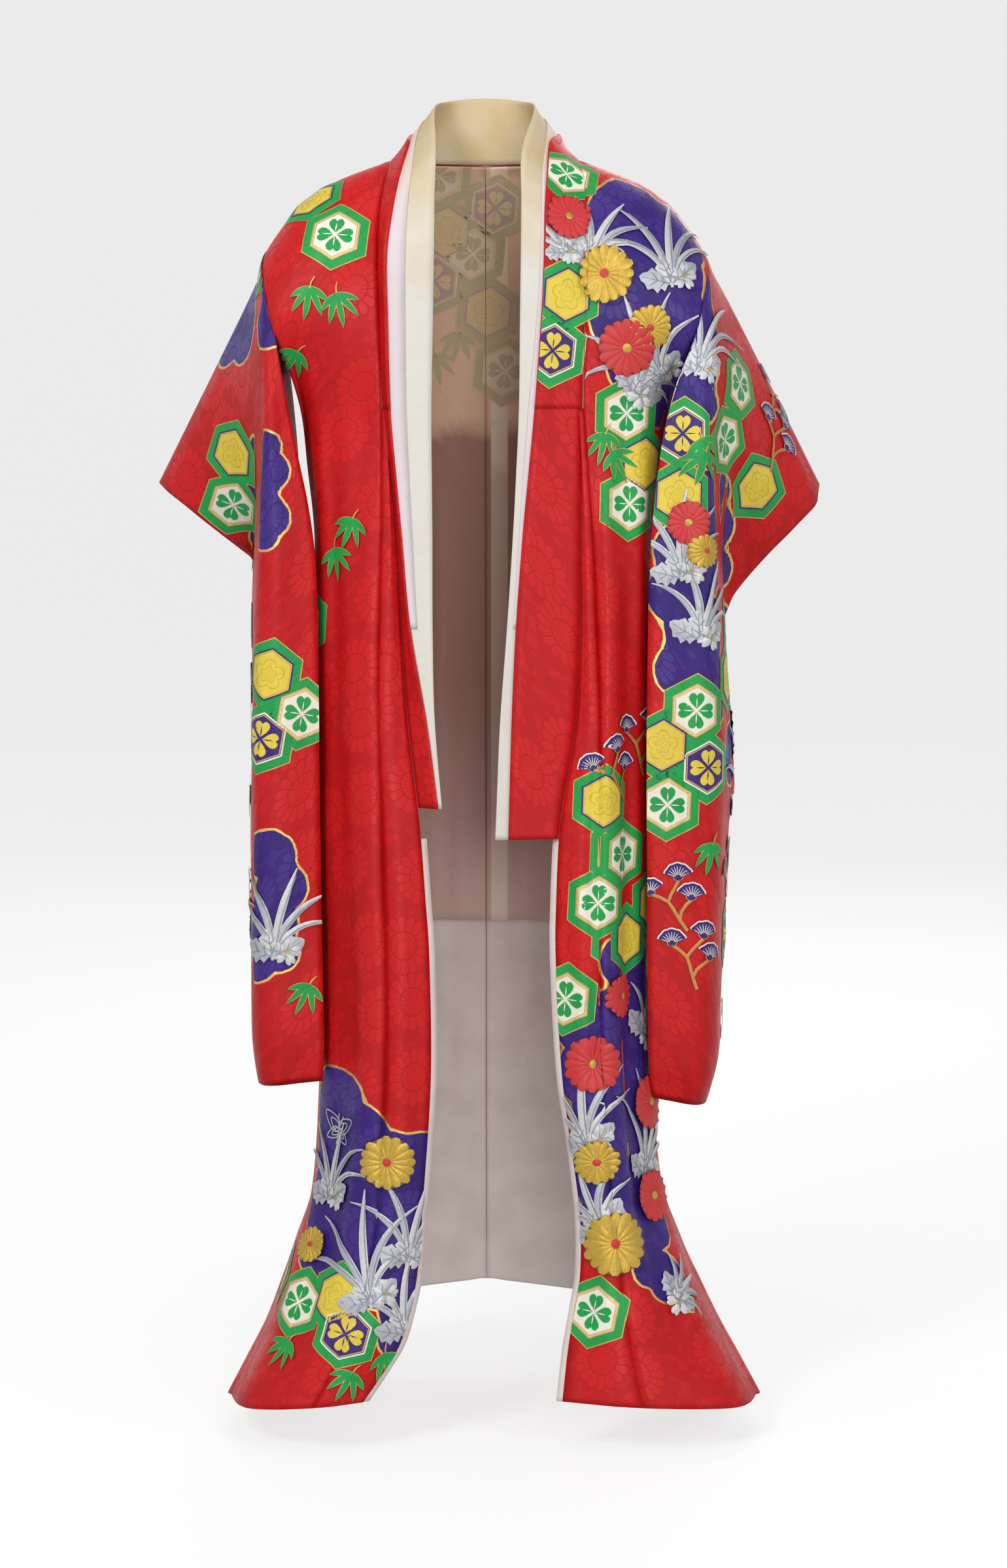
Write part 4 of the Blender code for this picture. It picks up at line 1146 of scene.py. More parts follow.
def crease_faces(faces, starts):
    """Creases and seam grooves of one side's faces."""
    for name in ("front", "overlap"):
        faces[name].crease(BODY_CREASES, ("front",))
    faces["back"].crease(BODY_CREASES, ("back",))
    faces["sleeve_front"].crease(SLEEVE_CREASES, ("front", "left", "right"))
    faces["sleeve_back"].crease(SLEEVE_CREASES, ("back",))
    seam = slice(starts["chest"], None)
    faces["front"].groove(first=seam)
    faces["overlap"].groove(last=slice(None))
    faces["back"].groove(first=slice(None))
    armhole = slice(0, starts["sleeve_seam"])
    faces["front"].groove(last=slice(0, starts["chest"]))
    faces["back"].groove(last=slice(0, starts["chest"]))
    faces["sleeve_front"].groove(first=armhole)
    faces["sleeve_back"].groove(first=armhole)


class Finish:
    """A procedural finish."""

    def __init__(self, name, **fixed):
        self.material = bpy.data.materials.new(name)
        self.material.use_nodes = True
        self.tree = self.material.node_tree
        self.shader = self.tree.nodes["Principled BSDF"]
        for socket, value in fixed.items():
            self.shader.inputs[socket.replace("_", " ")].default_value = value

    def node(self, kind, settings=None, sockets=None):
        """Any node, with its settings and what goes into its sockets."""
        node = self.tree.nodes.new(kind)
        for key, value in (settings or {}).items():
            setattr(node, key, value)
        for key, value in (sockets or {}).items():
            self.feed(node.inputs[key], value)
        return node

    def feed(self, socket, value):
        """Link a wire to a socket, or set a plain value on it."""
        if isinstance(value, Wire):
            self.tree.links.new(value.socket, socket)
        else:
            socket.default_value = value

    def math(self, operation, *values):
        """A sum of wires and numbers."""
        node = self.node("ShaderNodeMath", {"operation": operation}, dict(enumerate(values)))
        return Wire(self, node.outputs[0])

    def vector(self, operation, *values):
        """A sum of vectors."""
        node = self.node("ShaderNodeVectorMath", {"operation": operation}, dict(enumerate(values)))
        return Wire(self, node.outputs[0])

    def split(self, vector):
        """The parts of a vector."""
        node = self.node("ShaderNodeSeparateXYZ", None, {0: vector})
        return [Wire(self, output) for output in node.outputs]

    def step(self, value, low, high):
        """0 below low, 1 above high, and smooth between."""
        node = self.node("ShaderNodeMapRange", {"interpolation_type": "SMOOTHSTEP"},
                         {0: value, 1: low, 2: high})
        return Wire(self, node.outputs[0])

    def mix(self, factor, first, second):
        """One colour passing into another."""
        node = self.node("ShaderNodeMix", {"data_type": "RGBA"}, {0: factor, 6: first, 7: second})
        return Wire(self, node.outputs[2])

    def noise(self, vector, scale, detail=2.0, rough=0.5):
        """Soft noise, 0 to 1."""
        node = self.node("ShaderNodeTexNoise", None,
                         {"Vector": vector, "Scale": scale, "Detail": detail, "Roughness": rough})
        return Wire(self, node.outputs[0])

    def cloth(self):
        """The cloth's own sizes in metres."""
        return Wire(self, self.node("ShaderNodeUVMap", {"uv_map": "cloth"}).outputs[0])

    def place(self):
        """The place on the garment in metres."""
        return Wire(self, self.node("ShaderNodeTexCoord").outputs["Object"])

    def field(self):
        """Distance to the edge of the cloud fields, in mm."""
        node = self.node("ShaderNodeAttribute", {"attribute_name": "field"})
        return Wire(self, node.outputs["Fac"])

    def bump(self, height, distance, strength=1.0):
        """Relief of the surface, as a height of 0 to 1 and its size in metres."""
        node = self.node("ShaderNodeBump", None,
                         {"Strength": strength, "Distance": distance, "Height": height})
        self.tree.links.new(node.outputs[0], self.shader.inputs["Normal"])

    def give(self, socket, wire):
        """Feed one of the shader's own sockets, or set its value."""
        self.feed(self.shader.inputs[socket], wire)


def sign(operation, swapped=False):
    """A method that works on a wire and another value."""
    def method(self, other):
        values = (other, self) if swapped else (self, other)
        return self.finish.math(operation, *values)
    return method


class Wire:
    """A socket of a finish, with the signs of arithmetic."""

    __add__, __radd__ = sign("ADD"), sign("ADD", True)
    __sub__, __rsub__ = sign("SUBTRACT"), sign("SUBTRACT", True)
    __mul__, __truediv__, __pow__ = sign("MULTIPLY"), sign("DIVIDE"), sign("POWER")

    def __init__(self, finish, socket):
        self.finish, self.socket = finish, socket

    def __abs__(self):
        return self.finish.math("ABSOLUTE", self)


# The damask in metres: its flowers to the metre and how unevenly they lie, the
# petals' number, a flower's least radius and what its petals add, the heart's
# radius, the ring's radius, and how fine the leaves between the flowers are
DAMASK_SCALE = 11.5
DAMASK_UNEVEN = 0.62
DAMASK_PETALS = 8.0
DAMASK_RADIUS = 0.029
DAMASK_PETAL_REACH = 0.006
DAMASK_HEART = (0.0055, 0.0065)
DAMASK_RING = 0.017
DAMASK_LEAVES = 62.0
LEAF_STRENGTH = 0.55


def damask(finish):
    """Woven chrysanthemums between leaves, 1 on the figures and 0 on the ground."""
    cloth = finish.cloth()
    cells = finish.node("ShaderNodeTexVoronoi", {"voronoi_dimensions": "2D"},
                        {"Vector": cloth, "Scale": DAMASK_SCALE, "Randomness": DAMASK_UNEVEN})
    offset = finish.vector("SUBTRACT", cloth, Wire(finish, cells.outputs["Position"]))
    across, up, _ = finish.split(offset)
    radius = (across * across + up * up) ** 0.5
    angle = finish.math("ARCTAN2", up, across)
    petals = abs(finish.math("COSINE", angle * DAMASK_PETALS))
    rim = radius / (DAMASK_RADIUS + petals * DAMASK_PETAL_REACH)
    disc = 1.0 - finish.step(rim, 0.96, 1.02)
    lines = finish.step(petals, 0.10, 0.34)
    heart = 1.0 - finish.step(radius, *DAMASK_HEART)
    ring = finish.step(abs(radius - DAMASK_RING), 0.0008, 0.0016)
    flower = disc * finish.math("MAXIMUM", heart, lines * ring)
    leaves = finish.step(finish.noise(cloth, DAMASK_LEAVES, 1.0), 0.545, 0.575)
    ground = finish.step(rim, 1.06, 1.12) * leaves
    return finish.math("MAXIMUM", flower, ground * LEAF_STRENGTH)


def silk_relief(finish, figure):
    """Soft dents of the cloth, its woven figures and its threads."""
    cloth = finish.cloth()
    dents = finish.noise(cloth, 16.0, 2.0)
    crumple = finish.noise(cloth, 70.0, 2.0)
    thread = finish.noise(finish.vector("MULTIPLY", cloth, (1.0, 5.0, 1.0)), 520.0, 1.0)
    height = dents * 0.72 + crumple * 0.16 + figure * 0.10 + thread * 0.03
    finish.bump(height, 0.0034, 0.55)


# The silk's colours on its ground and its woven figures, where the figures' lighter colour is
# painted sheen of the weave, its deeper red, and the gold line round the purple fields
RED = ((0.470, 0.0030, 0.0045, 1), (0.600, 0.0075, 0.0080, 1))
DEEP_RED = (0.360, 0.002, 0.004, 1)
PURPLE = ((0.032, 0.011, 0.150, 1), (0.050, 0.022, 0.200, 1))
GOLD = (0.62, 0.42, 0.12, 1)


def silk_finish():
    """Red damask, purple inside the cloud fields, with a gold line round them."""
    finish = Finish("silk_red", Roughness=0.4, Specular_IOR_Level=0.2)
    figure = damask(finish)
    cloth = finish.cloth()
    field = finish.field() + (finish.noise(cloth, 45.0, 1.0) - 0.5) * 3.0
    shade = finish.noise(cloth, 9.0, 2.0)
    # The woven figures are painted lighter than the ground, in red and in purple: painted sheen of
    # the weave
    red = finish.mix(figure, *RED)
    red = finish.mix(shade * 0.35, red, DEEP_RED)
    purple = finish.mix(figure, *PURPLE)
    inside = 1.0 - finish.step(field, -0.4, 0.4)
    colour = finish.mix(inside, red, purple)
    braid = finish.noise(cloth, 900.0, 0.0)
    line = 1.0 - finish.step(abs(field), 1.3, 1.7)
    finish.give("Base Color", finish.mix(line, colour, GOLD))
    finish.give("Metallic", line * 0.75)
    finish.give("Roughness", 0.46 - figure * 0.10 + shade * 0.06 - line * 0.08)
    silk_relief(finish, figure + line * (0.6 + braid))
    return finish.material


def dye_finish(name, colour, deep, roughness=0.46):
    """A flat colour dyed into the damask."""
    finish = Finish(name, Roughness=roughness, Specular_IOR_Level=0.3, Sheen_Weight=0.03)
    figure = damask(finish)
    shade = finish.noise(finish.cloth(), 30.0, 2.0)
    # The woven figures lean to the deeper colour, which is painted sheen of the weave; the noise is
    # random tone
    finish.give("Base Color", finish.mix(shade * 0.6 + figure * 0.3, colour, deep))
    silk_relief(finish, figure)
    return finish.material


def thread_finish(name, colour, deep, metallic, roughness):
    """Satin stitch of metal or silk thread."""
    finish = Finish(name, Metallic=metallic, Roughness=roughness)
    cloth = finish.cloth()
    strands = finish.noise(finish.vector("MULTIPLY", cloth, (1.0, 0.25, 1.0)), 900.0, 1.0)
    patches = finish.noise(cloth, 120.0, 1.0)
    finish.give("Base Color", finish.mix(strands * 0.5 + patches * 0.4, colour, deep))
    finish.give("Roughness", roughness + patches * 0.16)
    finish.bump(strands * 0.6 + patches * 0.4, 0.0009, 0.8)
    return finish.material


def rose_lining_finish():
    """Thin rose lining with painted light: tan where painted light comes through the cloth above,
    dark mauve painted shade below it that pales lower down, and paler along the centre seam.
    """
    finish = Finish("lining_rose", Roughness=0.62, Sheen_Weight=0.1)
    across, _, up = finish.split(finish.place())
    cloth = finish.cloth()
    haze = finish.noise(cloth, 14.0, 3.0)
    # Painted light: above this wavy height the lining is painted tan, as if lit through from
    # outside
    high = finish.step(up + (haze - 0.5) * 0.06, -0.345, -0.315)
    # Painted shade: below the lit part the lining is dark mauve, paling towards its foot
    deep = finish.step(up, -0.62, -0.94)
    body = finish.mix(deep, (0.400, 0.200, 0.165, 1), (0.620, 0.420, 0.380, 1))
    top = finish.mix(haze, (0.900, 0.560, 0.400, 1), (0.760, 0.560, 0.310, 1))
    colour = finish.mix(high, body, top)
    seam = 1.0 - finish.step(abs(across - 0.0170), 0.0095, 0.0115)
    # The paler seam band shows more strongly within the painted light
    strength = finish.math("MAXIMUM", high, finish.step(up, -0.40, -0.36) * 0.8)
    colour = finish.mix(seam * (0.55 + strength * 0.4), colour, (0.90, 0.78, 0.60, 1))
    # Darker spots, only within the painted light
    spots = finish.step(finish.noise(cloth, 24.0, 3.0), 0.62, 0.72) * 0.35
    finish.give("Base Color", finish.mix(spots * high, colour, (0.50, 0.42, 0.30, 1)))
    finish.bump(haze * 0.6 + finish.noise(cloth, 60.0, 2.0) * 0.4, 0.003, 0.6)
    return finish.material


def crepe_finish(name, colour, deep, stain, stain_top):
    """Crepe or lining silk, stained towards the neck."""
    finish = Finish(name, Roughness=0.6, Sheen_Weight=0.15)
    _, _, up = finish.split(finish.place())
    cloth = finish.cloth()
    haze = finish.noise(cloth, 18.0, 3.0)
    base = finish.mix(haze, colour, deep)
    tan = finish.step(up + (haze - 0.5) * 0.12, stain_top[0], stain_top[1])
    finish.give("Base Color", finish.mix(tan * (0.55 + haze * 0.7), base, stain))
    grain = finish.noise(cloth, 700.0, 1.0)
    finish.bump(haze * 0.5 + finish.noise(cloth, 70.0, 2.0) * 0.4 + grain * 0.06, 0.003, 0.6)
    return finish.material


# Lining and collar silks: colour, its other shade, the stain's colour, and the
# heights in metres between which it sets in
CREPES = {
    "lining_pale": ((0.88, 0.79, 0.75, 1), (0.62, 0.52, 0.48, 1), (0.50, 0.44, 0.40, 1),
                    (2.0, 3.0)),
    "collar_cream": ((0.66, 0.64, 0.59, 1), (0.60, 0.57, 0.49, 1), (0.56, 0.41, 0.19, 1),
                     (-0.20, 0.07)),
    "collar_pink": ((0.68, 0.60, 0.63, 1), (0.62, 0.54, 0.57, 1), (0.70, 0.56, 0.44, 1),
                    (-0.10, 0.06)),
}

# Dyes of the pattern: colour and its deeper shade, which takes random tone and the figures' painted
# sheen
DYES = {
    "green": ((0.004, 0.330, 0.060, 1), (0.002, 0.240, 0.050, 1)),
    "yellow": ((0.760, 0.590, 0.055, 1), (0.640, 0.470, 0.040, 1)),
    "ochre": ((0.560, 0.400, 0.030, 1), (0.480, 0.320, 0.020, 1)),
    "white": ((0.800, 0.770, 0.660, 1), (0.740, 0.690, 0.560, 1)),
    "purple": ((0.036, 0.011, 0.170, 1), (0.026, 0.007, 0.120, 1)),
}

# Threads: colour, its deeper shade, how metallic and how rough
THREADS = {
    "gold_line": ((0.60, 0.40, 0.10, 1), (0.40, 0.25, 0.05, 1), 0.5, 0.4),
    "gold_thread": ((0.58, 0.39, 0.06, 1), (0.30, 0.18, 0.02, 1), 0.6, 0.36),
    "silver_thread": ((0.50, 0.51, 0.54, 1), (0.25, 0.26, 0.29, 1), 0.55, 0.38),
    "pale_thread": ((0.64, 0.64, 0.63, 1), (0.38, 0.38, 0.38, 1), 0.35, 0.42),
    # Not threads: painted shade in the gaps between a chrysanthemum's raised petals
    "maroon_thread": ((0.16, 0.004, 0.008, 1), (0.08, 0.002, 0.004, 1), 0.0, 0.5),
    "umber_thread": ((0.16, 0.080, 0.012, 1), (0.08, 0.040, 0.006, 1), 0.0, 0.5),
    # Thread for leaf veins, and the painted shade along one side of each grass blade
    "steel_thread": ((0.30, 0.31, 0.36, 1), (0.16, 0.17, 0.21, 1), 0.5, 0.42),
    "red_thread": ((0.62, 0.020, 0.022, 1), (0.40, 0.010, 0.012, 1), 0.0, 0.42),
    "bronze_thread": ((0.52, 0.26, 0.07, 1), (0.34, 0.15, 0.03, 1), 0.6, 0.4),
}

# Painted light: the dyes' colours as light coming through them shows on the rose lining
LIT_LINING_DYES = {
    "green": ((0.560, 0.500, 0.300, 1), (0.62, 0.50, 0.31, 1)),
    "yellow": ((0.800, 0.620, 0.330, 1), (0.74, 0.56, 0.31, 1)),
    "purple": ((0.560, 0.410, 0.360, 1), (0.52, 0.38, 0.32, 1)),
    "white": ((0.860, 0.700, 0.520, 1), (0.80, 0.62, 0.46, 1)),
}
THROUGH_ROUGHNESS = 0.65

# The painted light through the lining in place of each colour of the pattern
GHOSTS = {"green": "ghost_green", "yellow": "ghost_yellow", "ochre": "ghost_green",
          "white": "ghost_white", "purple": "ghost_purple", "gold_line": "ghost_yellow"}


def all_finishes():
    """Every finish by its own name."""
    finishes = {"silk_red": silk_finish(), "lining_rose": rose_lining_finish()}
    for name, values in CREPES.items():
        finishes[name] = crepe_finish(name, *values)
    for name, shades in DYES.items():
        finishes[name] = dye_finish(f"{name}_dye", *shades)
    for name, values in THREADS.items():
        finishes[name] = thread_finish(name, *values)
    for name, shades in LIT_LINING_DYES.items():
        finishes[f"ghost_{name}"] = dye_finish(f"{name}_painted_light_through", *shades,
                                               THROUGH_ROUGHNESS)
    return finishes


def grid_faces(rows, columns, flip):
    """Corner numbers of a grid's cells."""
    first = np.arange(rows - 1)[:, None] * columns + np.arange(columns - 1)[None, :]
    corners = np.stack([first, first + columns, first + columns + 1, first + 1], axis=-1)
    corners = corners.reshape(-1, 4)
    return corners[:, ::-1] if flip else corners


# Points closer than this, in metres, become one
MERGE_DISTANCE = 0.00004


def mesh_piece(name, points, corners, cloth, field, finish):
    """A mesh object from points in mm, with its cloth sizes and field."""
    mesh = bpy.data.meshes.new(name)
    mesh.from_pydata((points * MM).tolist(), [], corners.tolist())
    sizes = mesh.uv_layers.new(name="cloth")
    spots = np.empty(len(mesh.loops), dtype=np.int32)
    mesh.loops.foreach_get("vertex_index", spots)
    sizes.data.foreach_set("uv", (cloth[spots] * MM).astype(np.float32).ravel())
    edge = mesh.attributes.new("field", "FLOAT", "POINT")
    edge.data.foreach_set("value", field.astype(np.float32))
    work = bmesh.new()
    work.from_mesh(mesh)
    bmesh.ops.remove_doubles(work, verts=work.verts, dist=MERGE_DISTANCE)
    bmesh.ops.dissolve_degenerate(work, edges=work.edges, dist=MERGE_DISTANCE)
    work.to_mesh(mesh)
    work.free()
    mesh.shade_smooth()
    mesh.materials.append(finish)
    piece = bpy.data.objects.new(name, mesh)
    bpy.context.scene.collection.objects.link(piece)
    return piece


def cloth_piece(name, faces, lobes, finish, thickness):
    """A thin closed sheet over some faces of cloth."""
    points, corners, cloth, fields = [], [], [], []
    count = 0
    for face in faces:
        rows, columns = face.points.shape[:2]
        points.append(face.points.reshape(-1, 3))
        cloth.append(face.cloth.reshape(-1, 2))
        fields.append(face.field(lobes).reshape(-1))
        corners.append(grid_faces(rows, columns, face.outward < 0) + count)
        count += rows * columns
    piece = mesh_piece(name, np.vstack(points), np.vstack(corners), np.vstack(cloth),
                       np.concatenate(fields), finish)
    wall = piece.modifiers.new("wall", "SOLIDIFY")
    wall.thickness = thickness * MM
    wall.offset = 0.0
    return piece


def ring_corners(rings, count):
    """Corner numbers of rings of points, one inside the other."""
    return np.array([(a * count + b, a * count + (b + 1) % count,
                      (a + 1) * count + (b + 1) % count, (a + 1) * count + b)
                     for a in range(rings) for b in range(count)])


def ring_shape(radius, rings, sectors, inner=0.0, rise=0.0):
    """A disc or ring as quads: across, up and lift of its points."""
    points = []
    for a in range(rings + 1):
        share = inner + (1 - inner) * a / rings
        for b in range(sectors):
            angle = 2 * math.pi * b / sectors
            reach = radius(angle) * share
            points.append((reach * math.sin(angle), reach * math.cos(angle), rise * (1 - share)))
    return np.array(points), ring_corners(rings, sectors)


def ribbon_shape(path, halves, crown=0.0):
    """A band along a path: three points across, the middle one raised."""
    path = np.array(path, dtype=float)
    way = unit(np.gradient(path, axis=0))
    side = np.stack([way[:, 1], -way[:, 0]], axis=1)
    points, corners = [], []
    for i, half in enumerate(halves):
        for k in (-1, 0, 1):
            x, z = path[i] + side[i] * half * k
            points.append((x, z, crown * (1 - abs(k)) * min(1.0, half / 2)))
        if i:
            for k in (0, 1):
                a = 3 * (i - 1) + k
                corners.append((a, a + 3, a + 4, a + 1))
    return np.array(points), np.array(corners)


def patch_shape(outline, rings=2, rise=0.0):
    """A patch inside a closed outline, domed a little."""
    outline = np.array(outline, dtype=float)
    middle = outline.mean(axis=0)
    points = []
    for a in range(rings + 1):
        share = a / rings
        for x, z in middle + (outline - middle) * share:
            points.append((x, z, rise * (1 - share * share)))
    return np.array(points), ring_corners(rings, len(outline))


def both_halves(outline):
    """An outline's right half with its mirror image."""
    return list(outline) + [(-x, z) for x, z in reversed(outline) if x > 0.01]


def turned(points, degrees, shift=(0, 0), scale=1.0):
    """A shape turned, moved and scaled in its own plane."""
    angle = math.radians(degrees)
    c, s = math.cos(angle), math.sin(angle)
    out = points.copy()
    out[:, 0] = (points[:, 0] * c + points[:, 1] * s) * scale + shift[0]
    out[:, 1] = (-points[:, 0] * s + points[:, 1] * c) * scale + shift[1]
    return out


def curve(height, bend, count):
    """A bent line rising from the foot."""
    return [(bend * t * t, height * t) for t in (k / (count - 1) for k in range(count))]


def tapered(half, count, blunt=0.0):
    """Half widths of a leaf along its length."""
    return [half * max(math.sin(math.pi * (0.08 + 0.91 * k / (count - 1))) ** 0.8, blunt)
            for k in range(count)]


def hexagon_reach(size):
    """Radius of a hexagon with a corner at the top."""
    return lambda a: size * math.cos(math.pi / 6) / math.cos(a % (math.pi / 3) - math.pi / 6)


# Outline of a blossom's petal, its right half from the heart to the tip
PETAL_HALF = ((0, 0.10), (0.10, 0.22), (0.27, 0.38), (0.41, 0.60), (0.43, 0.78),
              (0.34, 0.93), (0.20, 1.00), (0.08, 0.95), (0, 0.84))


def blossom_parts(size, petals, colour, layer, rise=0.0):
    """A flower of broad notched petals, each a patch of its own."""
    wide = size * 4 / petals
    outline = both_halves([(x * wide, z * size) for x, z in PETAL_HALF])
    points, corners = patch_shape(outline, 3, rise)
    return [(colour, layer, (turned(points, 360 / petals * k), corners)) for k in range(petals)]


def blossom_reach(size, petals):
    """Radius of a flower of round petals."""
    return lambda a: size * (0.62 + 0.38 * abs(math.cos(petals * a / 2)) ** 0.7)


# Bands of a hexagon: colour, layer, size and inner edge as shares, rings
HEXAGON_SECTORS = 48
HEXAGON_BANDS = (
    ("green", 0, 1.0, 0.73, 4),
    ("gold_line", -1, 1.035, 0.9, 2),
    ("ground", 1, 0.74, 0.0, 8),
    ("frame", 2, 0.745, 0.93, 1),
    ("line", 2, 0.67, 0.955, 1),
)
BLOSSOM_SIZE = 21.5
OUTLINE_BLOSSOMS = (19.0, 10.0)
HEART_SIZE = 2.4
VEIN = ((0, 3.0), (0, 9.0), (0, 15.0))
VEIN_HALVES = (0.2, 0.8, 0.2)

# What fills a hexagon: ground, blossom, its heart, its petals, and the frame
# and line inside the green border
FILL_NAMES = ("ground", "blossom", "heart", "petals", "frame", "line")
FILLS = {
    "yellow": ("yellow", "ochre", "yellow", 5, "purple", "gold_line"),
    "white": ("white", "green", "white", 4, "gold_line", "gold_line"),
    "purple": ("purple", "yellow", "purple", 4, "white", "gold_line"),
}


def hexagon_motif(fill):
    """Parts of one tortoiseshell hexagon: colour, layer and shape."""
    colours = dict(zip(FILL_NAMES, FILLS[fill]))
    parts = []
    for band, layer, size, inner, rings in HEXAGON_BANDS:
        shape = ring_shape(hexagon_reach(HEXAGON_SIZE * size), rings, HEXAGON_SECTORS, inner)
        parts.append((colours.get(band, band), layer, shape))
    if fill != "yellow":
        parts += blossom_parts(BLOSSOM_SIZE, colours["petals"], colours["blossom"], 2)
    else:
        for size in OUTLINE_BLOSSOMS:
            shape = ring_shape(blossom_reach(size, colours["petals"]), 1, 60, 0.94)
            parts.append((colours["blossom"], 2, shape))
    for k in range(colours["petals"]):
        vein, corners = ribbon_shape(VEIN, VEIN_HALVES)
        parts.append((colours["heart"], 3, (turned(vein, 360 / colours["petals"] * k), corners)))
    parts.append((colours["heart"], 3, ring_shape(lambda a: HEART_SIZE, 1, 12)))
    return parts


# Leaves of a bamboo spray, turn and length, their bend and points, and the half
# widths of their gold edge and green blade
BAMBOO_LEAVES = ((-118, 27), (-148, 36), (178, 40), (144, 36), (112, 27))
BAMBOO_BEND = 3.0
BAMBOO_POINTS = 7
BAMBOO_BANDS = (("gold_line", 0, 4.1), ("green", 1, 3.3))


def bamboo_motif():
    """A drooping spray of bamboo leaves with gold edges."""
    parts = []
    for turn, length in BAMBOO_LEAVES:
        path = curve(length, math.copysign(BAMBOO_BEND, turn), BAMBOO_POINTS)
        for colour, layer, half in BAMBOO_BANDS:
            points, corners = ribbon_shape(path, tapered(half, BAMBOO_POINTS))
            parts.append((colour, layer, (turned(points, turn), corners)))
    twig, corners = ribbon_shape([(0, -2), (1, 6), (4, 13)], [0.8, 0.9, 0.5])
    parts.append(("gold_line", 1, (twig, corners)))
    return parts


# Tufts of a pine bough, place and turn, their radius, the half angle of the fan,
# the turn from needle to needle, and the boughs that carry them
PINE_TUFTS = ((-22, 2, -10), (14, 16, 4), (26, -10, 14))
PINE_RADIUS = 17.0
FAN_HALF = 1.35
NEEDLE_TURN = 17
NEEDLE = ((0, 3.5), (0, 8.5), (0, 13.5))
NEEDLE_HALVES = (0.35, 0.45, 0.3)
BOUGH_HALF = 2.0
PINE_BOUGHS = (
    ((16, -50), (9, -36), (3, -22), (-2, -12), (-12, -5), (-22, 0)),
    ((-2, -12), (3, -3), (9, 5), (14, 12)),
    ((9, -36), (12, -26), (19, -18), (26, -13)),
)


def pine_motif():
    """A pine bough with fan-shaped tufts and a gold branch."""
    def fan(angle):
        swing = abs((angle + math.pi) % (2 * math.pi) - math.pi)
        scallop = 0.06 * abs(math.cos(swing * 5.5))
        return PINE_RADIUS * (1 + scallop if swing < FAN_HALF else 0.34 + 0.1 * math.cos(swing))
    parts = []
    for path in PINE_BOUGHS:
        parts.append(("bronze_thread", 0, ribbon_shape(path, [BOUGH_HALF] * len(path), 0.3)))
    for x, z, turn in PINE_TUFTS:
        for colour, layer, scale in (("white", 0, 1.06), ("purple", 1, 0.96)):
            points, corners = ring_shape(fan, 3, 40)
            parts.append((colour, layer, (turned(points, turn, (x, z), scale), corners)))
        for k in range(-4, 5):
            points, corners = ribbon_shape(NEEDLE, NEEDLE_HALVES)
            points = turned(turned(points, k * NEEDLE_TURN), turn, (x, z))
            parts.append(("white", 2, (points, corners)))
    return parts


# A chrysanthemum: its petals, their half widths from foot to tip, how much of
# its share a petal fills, where it starts at the heart's edge, and its crown
FLOWER_PETALS = 16
PETAL_WIDTHS = (0.22, 0.36, 0.50, 0.66, 0.82, 0.90, 0.46)
PETAL_FILL = 0.93
PETAL_START = 0.16
PETAL_CROWN = 1.3


def flower_motif(size, petals, heart):
    """An embroidered chrysanthemum: raised petals round a heart."""
    parts = []
    half = size * math.pi / FLOWER_PETALS * PETAL_FILL
    last = len(PETAL_WIDTHS) - 1
    path = [(0, size * (PETAL_START + (1 - PETAL_START) * k / last)) for k in range(last + 1)]
    halves = [half * width for width in PETAL_WIDTHS]
    for k in range(FLOWER_PETALS):
        reach = 1.0 + 0.03 * math.sin(2.4 * k)
        points, corners = ribbon_shape(path, halves, PETAL_CROWN)
        turn = 360 / FLOWER_PETALS * k
        parts.append((petals, 1, (turned(points, turn, (0, 0), reach), corners)))
    # A dark disc under the petals: painted shade in the gaps between the raised petals
    shade = "maroon_thread" if petals == "red_thread" else "umber_thread"
    parts.append((shade, 0, ring_shape(lambda a: size * 0.97, 3, 32)))
    parts.append((heart, 4, ring_shape(lambda a: size * PETAL_START, 2, 16, 0.0, 1.0)))
    return parts


# Blades of a tuft: lean, bend and droop as shares of its height, share of the
# height, and half width
TUFT_BLADES = ((-0.04, -0.34, 0.10, 0.98, 4.4), (0.03, 0.16, 0.02, 1.00, 4.8),
               (0.10, 0.52, 0.24, 0.96, 4.5), (-0.12, -0.66, 0.34, 0.84, 4.0),
               (0.16, 0.80, 0.44, 0.74, 3.8))
BLADE_POINTS = 12
BLUNT = 0.18

# Broad leaves at its foot: turn, size and colour, and the height of a tuft from
# which they have their full size
TUFT_LEAVES = ((-70, 40, "silver_thread"), (58, 44, "silver_thread"), (-14, 36, "pale_thread"))
FULL_HEIGHT = 80

# Right half of a lobed leaf's outline, foot to tip, and its veins, for a leaf
# one unit long
LEAF_HALF = ((0, 0.0), (0.05, 0.10), (0.26, 0.16), (0.20, 0.30), (0.38, 0.38), (0.27, 0.54),
             (0.34, 0.68), (0.18, 0.80), (0.12, 0.92), (0, 1.0))
LEAF_VEINS = (((0, 0.05), (0, 0.45), (0, 0.9)),
              ((0, 0.2), (0.1, 0.3), (0.24, 0.38)),
              ((0, 0.2), (-0.1, 0.3), (-0.24, 0.38)),
              ((0, 0.45), (0.1, 0.55), (0.2, 0.66)),
              ((0, 0.45), (-0.1, 0.55), (-0.2, 0.66)))
LEAF_VEIN_HALVES = (0.7, 0.6, 0.3)

# The tuft's pale blossom: place as shares of the height, size and turn
TUFT_BLOSSOM = (0.14, 0.10, 17.0, 10)


def blade_path(height, lean, bend, droop):
    """A grass blade that rises, bends over and droops."""
    path = []
    for k in range(BLADE_POINTS):
        t = k / (BLADE_POINTS - 1)
        path.append((height * (lean * t + bend * t * t), height * (t - droop * t ** 3)))
    return path


